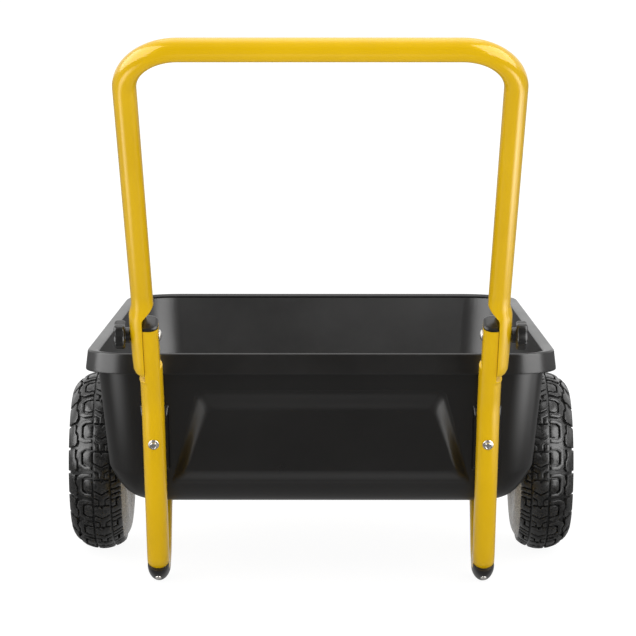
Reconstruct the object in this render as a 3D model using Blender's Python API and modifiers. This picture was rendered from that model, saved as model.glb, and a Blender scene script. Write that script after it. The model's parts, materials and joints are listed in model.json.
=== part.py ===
"""Yard cart: a moulded tub on two bent-tube rails, with a folding U handle and two pneumatic wheels.

Modelled with +Y towards the front, and y = 0 on the axle until the whole cart is moved to its origin.
"""

import math

import bmesh
import bpy
from mathutils import Matrix, Vector

# Fits
seat_gap = 0.0003
hole_clearance = 0.0004
running_clearance = 0.0003

# Tub
tub_length = 0.783
tub_width_rear = 0.666
tub_width_front = 0.641
rim_height = 0.3457
rear_reach = 0.3715
rim_corner = 0.065
rim_edge_round = 0.003
lip_drop = 0.029
lip_overhang = 0.018
lip_flare = 0.0035
tub_wall = 0.0035
side_draft = math.radians(3.5)
rear_lean = math.radians(22.5)
front_lean = math.radians(24)
floor_slope = math.radians(7.5)
floor_corner = 0.080
fillet_rise = 0.045
side_fillet = 0.034
end_fillet = 0.022
well_half_spacing = 0.279
well_clearance = 0.017
corner_steps = 5

# Panel and rail pads pressed out of the tub's rear wall
panel_rise = 0.009
panel_below_lip = 0.029
panel_height = 0.151
panel_top_width = 0.347
panel_bottom_width = 0.423
panel_top_slant = 0.029
panel_bottom_slant = 0.026
panel_face_top_width = 0.310
panel_face_bottom_width = 0.379
pad_width = 0.040
pad_draft = 0.002
pad_below_lip = 0.053
pad_length = 0.107
pad_slant = 0.010
form_root = 0.006

# Wheels
tyre_diameter = 0.270
tyre_width = 0.094
tyre_wall = 0.0045
tread_width = 0.080
tread_drop = 0.019
tread_depth = 0.006
tread_groove = 0.004
bead_diameter = 0.1016
bead_width = 0.009
rim_width = 0.064
rim_flange_height = 0.008
rim_flange_run = 0.003
rim_seat_inner = 0.011
rim_sheet = 0.002
rim_well_diameter = 0.082
rim_bolt_circle = 0.062
rim_bolt_count = 4
wheel_track = 0.674
hub_length = 0.076
hub_diameter = 0.041
hub_wall = 0.0025
bearing_width = 0.011
valve_diameter = 0.008
valve_length = 0.024
valve_cap_length = 0.010
valve_radius = 0.0435

# Axle
axle_diameter = 0.016
axle_end = 0.002
spacer_diameter = 0.025
axle_washer_diameter = 0.030
axle_washer_thickness = 0.002
axle_nut_width = 0.024
axle_nut_height = 0.009

# Rails
rail_diameter = 0.03175
rail_wall = 0.0015
rail_inset = 0.08725
pivot_height = 0.3795
rail_stub = 0.019
rail_upper_lean = math.radians(35)
rail_bend_height = 0.280
rail_bend_radius = 0.150
foot_bend_radius = 0.035
foot_rise = math.radians(68)
floor_bend_radius = 0.050
rail_behind_front = 0.1415
joint_face = 0.008
joint_face_below = 0.082
inner_press = 0.013
inner_press_below = 0.053
press_run = 0.012
inner_press_step = 0.003
plug_gap = 0.0003
plug_depth = 0.012
plug_least = 0.003
plug_rim = 0.002
plug_dome = 0.007
plug_dome_turn = math.radians(60)

# Foot pads
sole_thickness = 0.0063
sole_side = 0.0016
sole_flat = 0.0010
pad_half_angle = math.radians(48)
pad_wrap = math.radians(80)
foot_screw_angle = math.radians(34)
foot_screw_diameter = 0.004
foot_screw_head = 0.009
foot_screw_head_height = 0.0027
foot_screw_length = 0.014

# Handle
handle_diameter = 0.030
handle_wall = 0.0015
handle_set_out = 0.00725
handle_bar_height = 0.774
handle_bar_behind_axle = 0.820
handle_corner_radius = 0.068
handle_bend_above = 0.075
handle_bend_radius = 0.100
handle_tail = 0.075
formed_above = 0.040
round_from = 0.066
formed_thickness = 0.019
formed_depth = 0.035
tail_taper = 0.0025

# Fasteners
joint_bolt_diameter = 0.008
joint_bolt_head = 0.015
joint_bolt_head_height = 0.0035
knob_boss_diameter = 0.021
knob_boss_length = 0.0065
knob_diameter = 0.041
knob_thickness = 0.015
knob_round = 0.003
knob_lobes = 5
knob_lobe_depth = 0.18
knob_bolt_reach = 0.009
knob_bore_reach = 0.0115
left_knob_turn = math.radians(0)
right_knob_turn = math.radians(60)
rear_bolt_height = 0.222
bolt_diameter = 0.006
bolt_flange = 0.015
bolt_flange_height = 0.0015
bolt_head_width = 0.010
bolt_head_height = 0.004
bolt_chamfer = 0.001
nut_width = 0.011
nut_height = 0.006
carriage_head = 0.018
carriage_head_height = 0.004
floor_bolt_past_bend = 0.030
floor_bolt_behind_front = 0.1865
strap_width = 0.030
strap_thickness = 0.003

# Facets
tube_sides = 12
fastener_sides = 8
hole_sides = 6
ring_sides = 10
corner_steps = 5
fillet_steps = 3
well_sides = 24
rim_round_steps = 2
rail_bend_steps = 2
foot_steps = 6
floor_bend_steps = 3
pad_steps = 3
dome_steps = 3
form_steps = 3
handle_bend_steps = 2
handle_corner_steps = 5
knob_sides = 20
wheel_steps = 16
tyre_steps = 32
tread_columns = 6

# Values that follow from the sizes above
AXIS_X = Vector((1, 0, 0))
AXIS_Z = Vector((0, 0, 1))
rail_radius = rail_diameter / 2
handle_radius = handle_diameter / 2
tyre_radius = tyre_diameter / 2
axle_height = tyre_radius
axle_centre = Vector((0, 0, axle_height))
rail_x = min(tub_width_rear, tub_width_front) / 2 - rail_inset
joint_x = rail_x + joint_face
handle_half_spacing = rail_x + handle_set_out
rear_face = -rear_reach
front_face = rear_face + tub_length
lip_bottom = rim_height - lip_drop
floor_normal = Vector((0, -math.sin(floor_slope), math.cos(floor_slope)))
floor_run = Vector((0, math.cos(floor_slope), math.sin(floor_slope)))
upper_down = Vector((0, math.sin(rail_upper_lean), -math.cos(rail_upper_lean)))
lower_down = Vector((0, math.sin(rear_lean), -math.cos(rear_lean)))
wall_out = Vector((0, -math.cos(rear_lean), -math.sin(rear_lean)))
pivot = Vector(
    (
        0,
        rear_face
        - (rail_radius + seat_gap) / math.cos(rail_upper_lean)
        - (pivot_height - lip_bottom) * math.tan(rail_upper_lean),
        pivot_height,
    )
)
bar_centre = Vector((0, -handle_bar_behind_axle, handle_bar_height))
origin_shift = -(bar_centre.y - handle_radius + front_face) / 2


def floor_level(y):
    """Height of the floor's underside, which the rails' run lies against."""
    return axle_height + (rail_radius + seat_gap) / math.cos(floor_slope) + y * math.tan(floor_slope)


def collection(name):
    made = bpy.data.collections.new(name)
    bpy.context.scene.collection.children.link(made)
    return made


def finish(name, colour, roughness, metallic=0.0):
    made = bpy.data.materials.new(name)
    made.use_nodes = True
    shader = made.node_tree.nodes["Principled BSDF"]
    shader.inputs["Base Color"].default_value = (*colour, 1)
    shader.inputs["Roughness"].default_value = roughness
    shader.inputs["Metallic"].default_value = metallic
    made.diffuse_color = (*colour, 1)
    return made


for old in list(bpy.data.objects):
    bpy.data.objects.remove(old, do_unlink=True)
parts = collection("yard_cart")
cutters = collection("cutters")

yellow_paint = finish("yellow_paint", (0.76, 0.50, 0.01), 0.3)
black_plastic = finish("black_plastic", (0.018, 0.017, 0.016), 0.45)
tyre_rubber = finish("tyre_rubber", (0.022, 0.021, 0.021), 0.75)
zinc_plate = finish("zinc_plate", (0.55, 0.55, 0.53), 0.35, 1.0)
rim_paint = finish("rim_paint", (0.60, 0.60, 0.58), 0.4)


def frame(name, place, parent=None):
    """An empty that carries the pieces of one body."""
    made = bpy.data.objects.new(name, None)
    made.location = place
    made.parent = parent
    parts.objects.link(made)
    return made


def add(name, mesh, material, parent, group=parts):
    made = bpy.data.objects.new(name, mesh)
    group.objects.link(made)
    made.parent = parent
    if material:
        mesh.materials.append(material)
    if group is cutters:
        made.hide_render = True
        made.display_type = "WIRE"
    else:
        mesh.shade_smooth()
        mesh.set_sharp_from_angle(angle=math.radians(35))
    return made


def add_bmesh(name, bm, material, parent, group=parts):
    bmesh.ops.recalc_face_normals(bm, faces=bm.faces)
    mesh = bpy.data.meshes.new(name)
    bm.to_mesh(mesh)
    bm.free()
    return add(name, mesh, material, parent, group)


def skin(rings, ends="capped"):
    """A bmesh through rings of equal length; its ends are capped, or its last ring meets its first."""
    bm = bmesh.new()
    loops = [[bm.verts.new(point) for point in ring] for ring in rings]
    pairs = list(zip(loops, loops[1:]))
    if ends == "joined":
        pairs.append((loops[-1], loops[0]))
    else:
        bm.faces.new(reversed(loops[0]))
        bm.faces.new(loops[-1])
    for low, high in pairs:
        for i in range(len(low)):
            j = (i + 1) % len(low)
            bm.faces.new((low[i], low[j], high[j], high[i]))
    return bm


def boolean(obj, other, operation):
    modifier = obj.modifiers.new(f"{operation.title()} {other.name}", "BOOLEAN")
    modifier.operation = operation
    modifier.solver = "EXACT"
    modifier.object = other


def turn_to(axis):
    return AXIS_Z.rotation_difference(axis).to_matrix().to_4x4()


def turned(name, profile, material, parent, place=(0, 0, 0), axis=AXIS_X, steps=ring_sides, closed=False):
    """A body of revolution about axis; profile pairs a radius with a height, down its outer side."""
    mesh = bpy.data.meshes.new(name)
    edges = [(i, i + 1) for i in range(len(profile) - 1)]
    if closed:
        edges.append((len(profile) - 1, 0))
    mesh.from_pydata([(radius, 0, height) for radius, height in profile], edges, [])
    made = add(name, mesh, material, parent)
    made.location = place
    made.rotation_euler = turn_to(axis).to_euler()
    screw = made.modifiers.new("Turn", "SCREW")
    screw.steps = screw.render_steps = steps
    screw.use_merge_vertices = True
    screw.merge_threshold = 0.00005
    return made


def bore_radius(diameter, sides):
    """Radius of a many-sided bore's corners, so that its flats clear the given diameter."""
    return diameter / 2 / math.cos(math.pi / sides)


def tube_profile(outer, inner, low, high):
    return [(outer, high), (outer, low), (inner, low), (inner, high)]


def drill(obj, holes, parent, sides=hole_sides):
    """Cuts round holes, each given by a point, an axis, a diameter and a length."""
    bm = bmesh.new()
    for centre, axis, diameter, length in holes:
        bmesh.ops.create_cone(
            bm,
            cap_ends=True,
            segments=sides,
            radius1=bore_radius(diameter, sides),
            radius2=bore_radius(diameter, sides),
            depth=length,
            matrix=Matrix.Translation(centre) @ turn_to(axis),
        )
    boolean(obj, add_bmesh(obj.name + "_holes", bm, None, parent, cutters), "DIFFERENCE")


def bend(start, before, after, radius, steps):
    """Stations round a bend, each a point and a direction, from start where it leaves the straight."""
    axis = before.cross(after).normalized()
    towards = axis.cross(before)
    stations = []
    for step in range(steps + 1):
        turn = Matrix.Rotation(before.angle(after) * step / steps, 3, axis)
        stations.append((start + (towards - turn @ towards) * radius, turn @ before))
    return stations


def bend_at(corner, before, after, radius, steps):
    reach = radius * math.tan(before.angle(after) / 2)
    return bend(corner - before * reach, before, after, radius, steps)


def meeting(point, along, other, other_along):
    """Where two lines in one vertical plane through the cart's length cross."""
    across = Vector((0, -other_along.z, other_along.y))
    return point + along * ((other - point).dot(across) / along.dot(across))


def ease(value):
    share = min(max(value, 0.0), 1.0)
    return share * share * (3 - 2 * share)


cart = frame("cart_origin", (0, origin_shift, 0))


def plan_outline(half_width, rear, front, corner):
    """A rounded plan outline seen from above; half_width gives the half width at any y."""
    points = []
    for side, end, start in ((1, 1, 0), (-1, 1, 90), (-1, -1, 180), (1, -1, 270)):
        for step in range(corner_steps + 1):
            angle = math.radians(start + 90 * step / corner_steps)
            y = (front - corner if end > 0 else rear + corner) + corner * math.sin(angle)
            points.append((side * (half_width(y) - corner) + corner * math.cos(angle), y))
    return points


def rim_half_width(y):
    share = (y - rear_face) / tub_length
    return (tub_width_rear + share * (tub_width_front - tub_width_rear)) / 2


def rim_ring(height, inset):
    """The lip's outline at a height, set in by inset; the lip flares out towards its lower edge."""
    inset += lip_flare * (height - lip_bottom) / lip_drop
    outline = plan_outline(
        lambda y: rim_half_width(y) - inset, rear_face + inset, front_face - inset, rim_corner - inset
    )
    return [(x, y, height) for x, y in outline]


def body_ring(level, slope, inset_side, inset_rear, inset_front, corner):
    """The outline in which the plane at height level + slope * y meets the drafted walls."""

    def half_width(y):
        drop = lip_bottom - level - slope * y
        return rim_half_width(y) - lip_overhang - drop * math.tan(side_draft) - inset_side

    drop = lip_bottom - level
    rear = rear_face + lip_overhang + inset_rear + drop * math.tan(rear_lean)
    front = front_face - lip_overhang - inset_front - drop * math.tan(front_lean)
    outline = plan_outline(
        half_width,
        rear / (1 + slope * math.tan(rear_lean)),
        front / (1 - slope * math.tan(front_lean)),
        corner,
    )
    return [(x, y, level + slope * y) for x, y in outline]


def tub_body(name, offset, top):
    """The tub's body as a solid, with its walls and floor moved inwards by offset."""
    slope = math.tan(floor_slope)
    wall_corner = rim_corner - lip_overhang - offset
    rings = []
    for step in range(fillet_steps + 1):
        angle = math.pi / 2 * step / fillet_steps
        left = 1 - math.sin(angle)
        rings.append(
            body_ring(
                floor_level(0) + offset + fillet_rise * (1 - math.cos(angle)),
                slope,
                offset + side_fillet * left,
                offset / math.cos(rear_lean) + end_fillet * left,
                offset / math.cos(front_lean) + end_fillet * left,
                floor_corner + (wall_corner - floor_corner) * step / (2 * fillet_steps),
            )
        )
    rings.append(
        body_ring(top, 0, offset, offset / math.cos(rear_lean), offset / math.cos(front_lean), wall_corner)
    )
    return add_bmesh(name, skin(rings), None, cart, cutters)


wall_top = Vector((0, rear_face + lip_overhang, lip_bottom))
rail_bend_point = pivot + upper_down * ((pivot_height - rail_bend_height) / math.cos(rail_upper_lean))
pad_rise = (rail_bend_point - wall_top).dot(wall_out) - rail_radius - seat_gap


def pressed_out(bm, place, foot, face, rise, sink):
    """A raised form on the rear wall; its slanted sides leave the wall at foot and run on sink deep."""
    root = [(x + (x - a) * sink / rise, s + (s - b) * sink / rise) for (x, s), (a, b) in zip(foot, face)]
    corners = [(x, s, -sink) for x, s in root] + [(x, s, rise) for x, s in face]
    points = [place + AXIS_X * x + lower_down * s + wall_out * n for x, s, n in corners]
    bmesh.ops.convex_hull(bm, input=[bm.verts.new(point) for point in points])


def trapezoid(top, bottom, top_half, bottom_half):
    return [(-top_half, top), (top_half, top), (bottom_half, bottom), (-bottom_half, bottom)]


def panel_form(name, offset):
    """The trapezoid panel, set back by offset."""
    bm = bmesh.new()
    panel_bottom = panel_below_lip + panel_height
    pressed_out(
        bm,
        wall_top - wall_out * offset,
        trapezoid(panel_below_lip, panel_bottom, panel_top_width / 2, panel_bottom_width / 2),
        trapezoid(
            panel_below_lip + panel_top_slant,
            panel_bottom - panel_bottom_slant,
            panel_face_top_width / 2,
            panel_face_bottom_width / 2,
        ),
        panel_rise,
        form_root,
    )
    return add_bmesh(name, bm, None, cart, cutters)


def pad_forms(name, offset):
    """The two pads that the rails lie on, set back by offset and narrowed by it."""
    bm = bmesh.new()
    half = pad_width / 2 - offset
    half_face = half - pad_draft
    pad_bottom = pad_below_lip + pad_length
    for side in (-1, 1):
        pressed_out(
            bm,
            wall_top - wall_out * offset + AXIS_X * rail_x * side,
            trapezoid(pad_below_lip, pad_bottom, half, half),
            trapezoid(pad_below_lip + pad_slant, pad_bottom - pad_slant, half_face, half_face),
            pad_rise,
            form_root,
        )
    return add_bmesh(name, bm, None, cart, cutters)


def wheel_wells(name, offset):
    bm = bmesh.new()
    depth = tub_width_rear / 2 - well_half_spacing + offset
    radius = tyre_radius + well_clearance + offset
    for side in (-1, 1):
        centre = axle_centre + AXIS_X * side * (well_half_spacing - offset + depth / 2)
        bmesh.ops.create_cone(
            bm,
            cap_ends=True,
            segments=well_sides,
            radius1=radius,
            radius2=radius,
            depth=depth,
            matrix=Matrix.Translation(centre) @ turn_to(AXIS_X),
        )
    return add_bmesh(name, bm, None, cart, cutters)


def tub_solid(name, offset, top):
    body = tub_body(name, offset, top)
    boolean(body, panel_form(name + "_panel", offset), "UNION")
    boolean(body, pad_forms(name + "_pads", offset), "UNION")
    boolean(body, wheel_wells(name + "_wells", offset), "DIFFERENCE")
    return body


rim_rings = [rim_ring(lip_bottom, 0)]
for step in range(rim_round_steps + 1):
    angle = math.pi / 2 * step / rim_round_steps
    rim_rings.append(
        rim_ring(
            rim_height - rim_edge_round * (1 - math.sin(angle)),
            rim_edge_round * (1 - math.cos(angle)),
        )
    )
tub = add_bmesh("tub", skin(rim_rings), black_plastic, cart)
under_rim = skin([rim_ring(lip_bottom - tub_wall, tub_wall), rim_ring(rim_height - tub_wall, tub_wall)])
boolean(tub, add_bmesh("under_rim", under_rim, None, cart, cutters), "DIFFERENCE")
boolean(tub, tub_solid("tub_outside", 0, rim_height - tub_wall / 2), "UNION")
boolean(tub, tub_solid("tub_inside", tub_wall, rim_height + tub_wall), "DIFFERENCE")

# Points along the rails, and those that their bolts pass through
foot_centre_height = sole_thickness + rail_radius + foot_bend_radius
foot_drop = rail_bend_height + foot_bend_radius * math.sin(rear_lean) - foot_centre_height
foot_start = rail_bend_point + lower_down * (foot_drop / math.cos(rear_lean))
foot_up = Vector((0, math.cos(foot_rise), math.sin(foot_rise)))
foot_stations = bend(foot_start, lower_down, foot_up, foot_bend_radius, foot_steps)
foot_centre = foot_start + Vector((0, math.cos(rear_lean), math.sin(rear_lean))) * foot_bend_radius
floor_corner_point = meeting(foot_stations[-1][0], foot_up, axle_centre, floor_run)
rear_bolt_drop = rail_bend_height - rear_bolt_height
rear_bolt_point = rail_bend_point + lower_down * (rear_bolt_drop / math.cos(rear_lean))
floor_bend_reach = floor_bend_radius * math.tan(foot_up.angle(floor_run) / 2)
floor_bolt_points = [
    floor_corner_point + floor_run * (floor_bend_reach + floor_bolt_past_bend),
    axle_centre + floor_run * (front_face - floor_bolt_behind_front),
]
rail_front_end = axle_centre + floor_run * (front_face - rail_behind_front)
bolt_hole = bolt_diameter + 2 * hole_clearance
tub_holes = []
for side in (-1, 1):
    across = AXIS_X * rail_x * side
    through = rail_diameter + 4 * tub_wall
    tub_holes.append((rear_bolt_point + across - wall_out * through / 2, wall_out, bolt_hole, through))
    for point in floor_bolt_points:
        tub_holes.append((point + across + floor_normal * through / 2, floor_normal, bolt_hole, through))
drill(tub, tub_holes, cart)


def tube_ring(point, direction, across, radius, outer=None, inner=None, shift=0.0):
    """One section of a tube; outer and inner limit how far it reaches along across and against it."""
    upright = direction.cross(across)
    ring = []
    for step in range(tube_sides):
        angle = 2 * math.pi * step / tube_sides
        reach = shift + radius * math.cos(angle)
        reach = min(reach, radius if outer is None else outer)
        reach = max(reach, -radius if inner is None else -inner)
        ring.append(point + across * reach + upright * (radius * math.sin(angle)))
    return ring


def pressed(distance):
    """How far the rail's end reaches outwards and inwards, where it is pressed flat for the joint."""
    free = ease((distance - joint_face_below) / press_run)
    outer = joint_face + (rail_radius - joint_face) * free
    free = min(max((distance - inner_press_below) / inner_press_step, 0), 1)
    inner = inner_press + (rail_radius - inner_press) * free
    return outer, inner


upper_stations = [
    (pivot + upper_down * distance, upper_down, distance)
    for distance in (
        -rail_stub,
        inner_press_below,
        inner_press_below + inner_press_step,
        joint_face_below,
        joint_face_below + press_run / 2,
        joint_face_below + press_run,
    )
]
lower_stations = (
    bend_at(rail_bend_point, upper_down, lower_down, rail_bend_radius, rail_bend_steps)
    + foot_stations
    + bend_at(floor_corner_point, foot_up, floor_run, floor_bend_radius, floor_bend_steps)
    + [(rail_front_end, floor_run)]
)
rail_stations = upper_stations + [(point, direction, 1.0) for point, direction in lower_stations]


def rail_rings(side, wall):
    rings = []
    across = AXIS_X * side
    for point, direction, distance in rail_stations:
        outer, inner = pressed(distance)
        rings.append(
            tube_ring(
                point + across * rail_x, direction, across, rail_radius - wall, outer - wall, inner - wall
            )
        )
    return rings


def foot_direction(angle):
    """From the foot bend's centre to its outside, angle behind straight down."""
    return Vector((0, -math.sin(angle), -math.cos(angle)))


def plug(name, end, outward, side, outer, inner):
    """A moulded plug: its stem fills the tube's bore and its domed head covers the tube's end."""
    across = AXIS_X * side
    bore = plug_gap + rail_wall
    sizes = [(-plug_depth, bore), (seat_gap, bore), (seat_gap, 0)]
    for step in range(dome_steps):
        angle = plug_dome_turn * step / (dome_steps - 1)
        rise = (plug_dome - plug_rim) * math.sin(angle) / math.sin(plug_dome_turn)
        sizes.append((plug_rim + rise, rail_radius * (1 - math.cos(angle))))
    rings = [
        tube_ring(
            end + across * rail_x + outward * height,
            outward,
            across,
            rail_radius - inset,
            max(outer - inset, plug_least),
            max(inner - inset, plug_least),
        )
        for height, inset in sizes
    ]
    add_bmesh(name, skin(rings), black_plastic, cart)


def foot_pad(name, side):
    """A moulded pad that wraps the underside of the foot bend and is flat where it stands."""
    rings = []
    centre = foot_centre + AXIS_X * rail_x * side
    hollow = (rail_radius + seat_gap) / math.cos(pad_wrap / pad_steps / 2)
    for step in range(foot_steps + 1):
        out = foot_direction(pad_half_angle * (1 - 2 * step / foot_steps))
        ring = []
        for angle_step in range(-pad_steps, pad_steps + 1):
            angle = pad_wrap * angle_step / pad_steps
            reach = foot_bend_radius + (rail_radius + sole_thickness + sole_flat) * math.cos(angle)
            ring.append(centre + out * reach + AXIS_X * ((rail_radius + sole_side) * math.sin(angle)))
        for angle_step in range(pad_steps, -pad_steps - 1, -1):
            angle = pad_wrap * angle_step / pad_steps
            reach = (foot_bend_radius + hollow * math.cos(angle)) / math.cos(pad_half_angle / foot_steps)
            ring.append(centre + out * reach + AXIS_X * (hollow * math.sin(angle)))
        rings.append(ring)
    bm = skin(rings)
    ground = bmesh.ops.bisect_plane(
        bm, geom=[*bm.verts, *bm.edges, *bm.faces], plane_co=(0, 0, 0), plane_no=(0, 0, 1), clear_inner=True
    )
    cut = [edge for edge in ground["geom_cut"] if isinstance(edge, bmesh.types.BMEdge)]
    bmesh.ops.holes_fill(bm, edges=cut)
    return add_bmesh(name, bm, black_plastic, cart)


def round_head_bolt(name, head, head_height, shank, length, place, axis):
    """A domed bolt whose head stands on place and whose shank runs back against axis."""
    profile = []
    for step in range(dome_steps + 1):
        angle = math.pi / 2 * step / dome_steps
        profile.append((head / 2 * math.sin(angle), head_height * math.cos(angle)))
    profile += [(shank / 2, 0), (shank / 2, -length), (0, -length)]
    return turned(name, profile, zinc_plate, cart, place=place, axis=axis, steps=fastener_sides)


foot_screw_seat = foot_bend_radius + rail_radius + sole_thickness + sole_flat
screw_out = foot_direction(foot_screw_angle)
joint_hole = joint_bolt_diameter + 2 * hole_clearance
screw_hole = foot_screw_diameter + 2 * seat_gap
for side, hand in ((-1, "left"), (1, "right")):
    across = AXIS_X * rail_x * side
    foot = foot_centre + across
    outside = rail_rings(side, 0)
    tube = skin(outside + rail_rings(side, rail_wall)[::-1], "joined")
    rail = add_bmesh(hand + "_rail", tube, yellow_paint, cart)
    through = rail_diameter + 4 * rail_wall
    rail_holes = [
        (pivot + across, AXIS_X, joint_hole, through),
        (axle_centre + across, AXIS_X, axle_diameter + 2 * seat_gap, through),
        (rear_bolt_point + across, wall_out, bolt_hole, through),
        (foot + screw_out * (foot_bend_radius + rail_radius), screw_out, screw_hole, rail_radius),
    ]
    rail_holes += [(point + across, floor_normal, bolt_hole, through) for point in floor_bolt_points]
    drill(rail, rail_holes, cart)
    rail_top = pivot - upper_down * rail_stub
    plug(hand + "_rail_top_plug", rail_top, -upper_down, side, joint_face, inner_press)
    plug(hand + "_rail_front_plug", rail_front_end, floor_run, side, rail_radius, rail_radius)
    pad = foot_pad(hand + "_foot_pad", side)
    drill(pad, [(foot + screw_out * foot_screw_seat, screw_out, screw_hole, rail_radius)], cart)
    round_head_bolt(
        hand + "_foot_screw",
        foot_screw_head,
        foot_screw_head_height,
        foot_screw_diameter,
        foot_screw_length,
        foot + screw_out * (foot_screw_seat + seat_gap),
        screw_out,
    )


def hex_nut(name, width, height, bore, place, axis, parent=cart):
    """A hexagon nut standing on place along axis."""
    bm = bmesh.new()
    bmesh.ops.create_cone(
        bm,
        cap_ends=True,
        segments=6,
        radius1=width / math.sqrt(3),
        radius2=width / math.sqrt(3),
        depth=height,
        matrix=Matrix.Translation(Vector(place) + axis * height / 2) @ turn_to(axis),
    )
    nut = add_bmesh(name, bm, zinc_plate, parent)
    drill(nut, [(Vector(place) + axis * height / 2, axis, bore, height * 2)], parent, sides=fastener_sides)


# Fasteners through the rear wall: a flanged bolt from behind, and its nut inside the tub
wall_stack = rail_diameter + seat_gap + tub_wall
for side, hand in ((-1, "left"), (1, "right")):
    across = AXIS_X * rail_x * side
    seat = rear_bolt_point + across + wall_out * (rail_radius + seat_gap)
    shank = bolt_diameter / 2
    flange = bolt_flange / 2
    head = bolt_head_width / 2
    turned(
        hand + "_rear_bolt",
        [
            (0, bolt_flange_height + bolt_head_height),
            (head - bolt_chamfer, bolt_flange_height + bolt_head_height),
            (head, bolt_flange_height + bolt_head_height - bolt_chamfer),
            (head, bolt_flange_height),
            (flange, bolt_flange_height / 2),
            (flange, 0),
            (shank, 0),
            (shank, -(wall_stack + 2 * seat_gap + nut_height)),
            (0, -(wall_stack + 2 * seat_gap + nut_height)),
        ],
        zinc_plate,
        cart,
        place=seat,
        axis=wall_out,
        steps=fastener_sides,
    )
    inside = seat - wall_out * (wall_stack + 2 * seat_gap)
    hex_nut(hand + "_rear_nut", nut_width, nut_height, bolt_hole, inside, -wall_out)

# Floor bolts: their heads lie on the tub's floor, and their nuts hold the rails, and the strap in front
floor_top = rail_radius + seat_gap + tub_wall * math.cos(floor_slope) + seat_gap
for point, label, below in (
    (floor_bolt_points[0], "rear", seat_gap),
    (floor_bolt_points[1], "front", strap_thickness + 2 * seat_gap),
):
    for side, hand in ((-1, "left"), (1, "right")):
        across = AXIS_X * rail_x * side
        nut_seat = rail_radius + below
        round_head_bolt(
            f"{hand}_{label}_floor_bolt",
            carriage_head,
            carriage_head_height,
            bolt_diameter,
            floor_top + nut_seat + nut_height,
            point + across + floor_normal * floor_top,
            floor_normal,
        )
        hex_nut(
            f"{hand}_{label}_floor_nut",
            nut_width,
            nut_height,
            bolt_hole,
            point + across - floor_normal * nut_seat,
            -floor_normal,
        )

strap_centre = floor_bolt_points[1] - floor_normal * (rail_radius + seat_gap + strap_thickness / 2)
strap_mesh = bmesh.new()
bmesh.ops.create_cube(
    strap_mesh,
    size=1,
    matrix=Matrix.Translation(strap_centre)
    @ turn_to(floor_normal)
    @ Matrix.Diagonal((2 * rail_x + strap_width, strap_width, strap_thickness, 1)),
)
strap = add_bmesh("cross_strap", strap_mesh, yellow_paint, cart)
drill(
    strap,
    [
        (floor_bolt_points[1] + AXIS_X * rail_x * side, floor_normal, bolt_hole, 2 * rail_diameter)
        for side in (-1, 1)
    ],
    cart,
)

# Handle, folding about the pivot
handle_frame = frame("handle_pivot", pivot, cart)
leg_bend = pivot - upper_down * handle_bend_above
leg_up = (bar_centre - leg_bend).normalized()
leg_x = AXIS_X * handle_half_spacing
flat_reach = joint_x + seat_gap - handle_half_spacing


def handle_section(point, direction, across, wall, formed, thinned):
    """The handle tube's section; formed goes from 0, round, to 1, pressed to a half round."""
    half = handle_radius + (formed_depth / 2 - handle_radius) * formed - wall
    top = handle_radius + (flat_reach + formed_thickness - handle_radius) * formed - thinned - wall
    flat = -handle_radius + (flat_reach + handle_radius) * formed + wall
    return tube_ring(point, direction, across, half, None, -flat, top - half)


def handle_rings(wall):
    stations = []
    for height in (-handle_tail, -handle_tail + 2 * tail_taper, 0.0):
        thinned = tail_taper * (1 + (height < -handle_tail + tail_taper)) * min(1, -height / handle_tail)
        stations.append((leg_x + pivot - upper_down * height, -upper_down, AXIS_X, 1.0, thinned))
    for step in range(form_steps + 1):
        height = formed_above + (round_from - formed_above) * step / form_steps
        formed = 1 - ease(step / form_steps)
        stations.append((leg_x + pivot - upper_down * height, -upper_down, AXIS_X, formed, 0))
    start = leg_x + leg_bend
    for point, direction in bend_at(start, -upper_down, leg_up, handle_bend_radius, handle_bend_steps):
        stations.append((point, direction, AXIS_X, 0, 0))
    upright = leg_up.cross(AXIS_X)
    corner = leg_x + bar_centre
    for point, direction in bend_at(corner, leg_up, -AXIS_X, handle_corner_radius, handle_corner_steps):
        stations.append((point, direction, upright.cross(direction), 0, 0))
    right = [
        handle_section(point - pivot, direction, across, wall, formed, thinned)
        for point, direction, across, formed, thinned in stations
    ]
    left = [[Vector((-point.x, point.y, point.z)) for point in ring] for ring in reversed(right)]
    return right + left


handle = add_bmesh(
    "handle", skin(handle_rings(0) + handle_rings(handle_wall)[::-1], "joined"), yellow_paint, handle_frame
)
drill(
    handle,
    [
        (AXIS_X * side * (joint_x + formed_thickness / 2), AXIS_X, joint_hole, 2 * formed_thickness)
        for side in (-1, 1)
    ],
    handle_frame,
)

# Joint bolts and the knobs that clamp them
knob_seat = joint_x + 2 * seat_gap + formed_thickness
bolt_seat = rail_x - inner_press - seat_gap
bolt_length = knob_seat + knob_boss_length + knob_bolt_reach - bolt_seat


def knob_ring(height, radius, lobes, phase):
    """A round or lobed outline round the joint's axis."""
    ring = []
    for step in range(knob_sides):
        angle = 2 * math.pi * step / knob_sides
        reach = radius * (1 - lobes * (1 - math.cos(knob_lobes * angle + phase)) / 2)
        ring.append(Vector((height, reach * math.cos(angle), reach * math.sin(angle))))
    return ring


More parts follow.
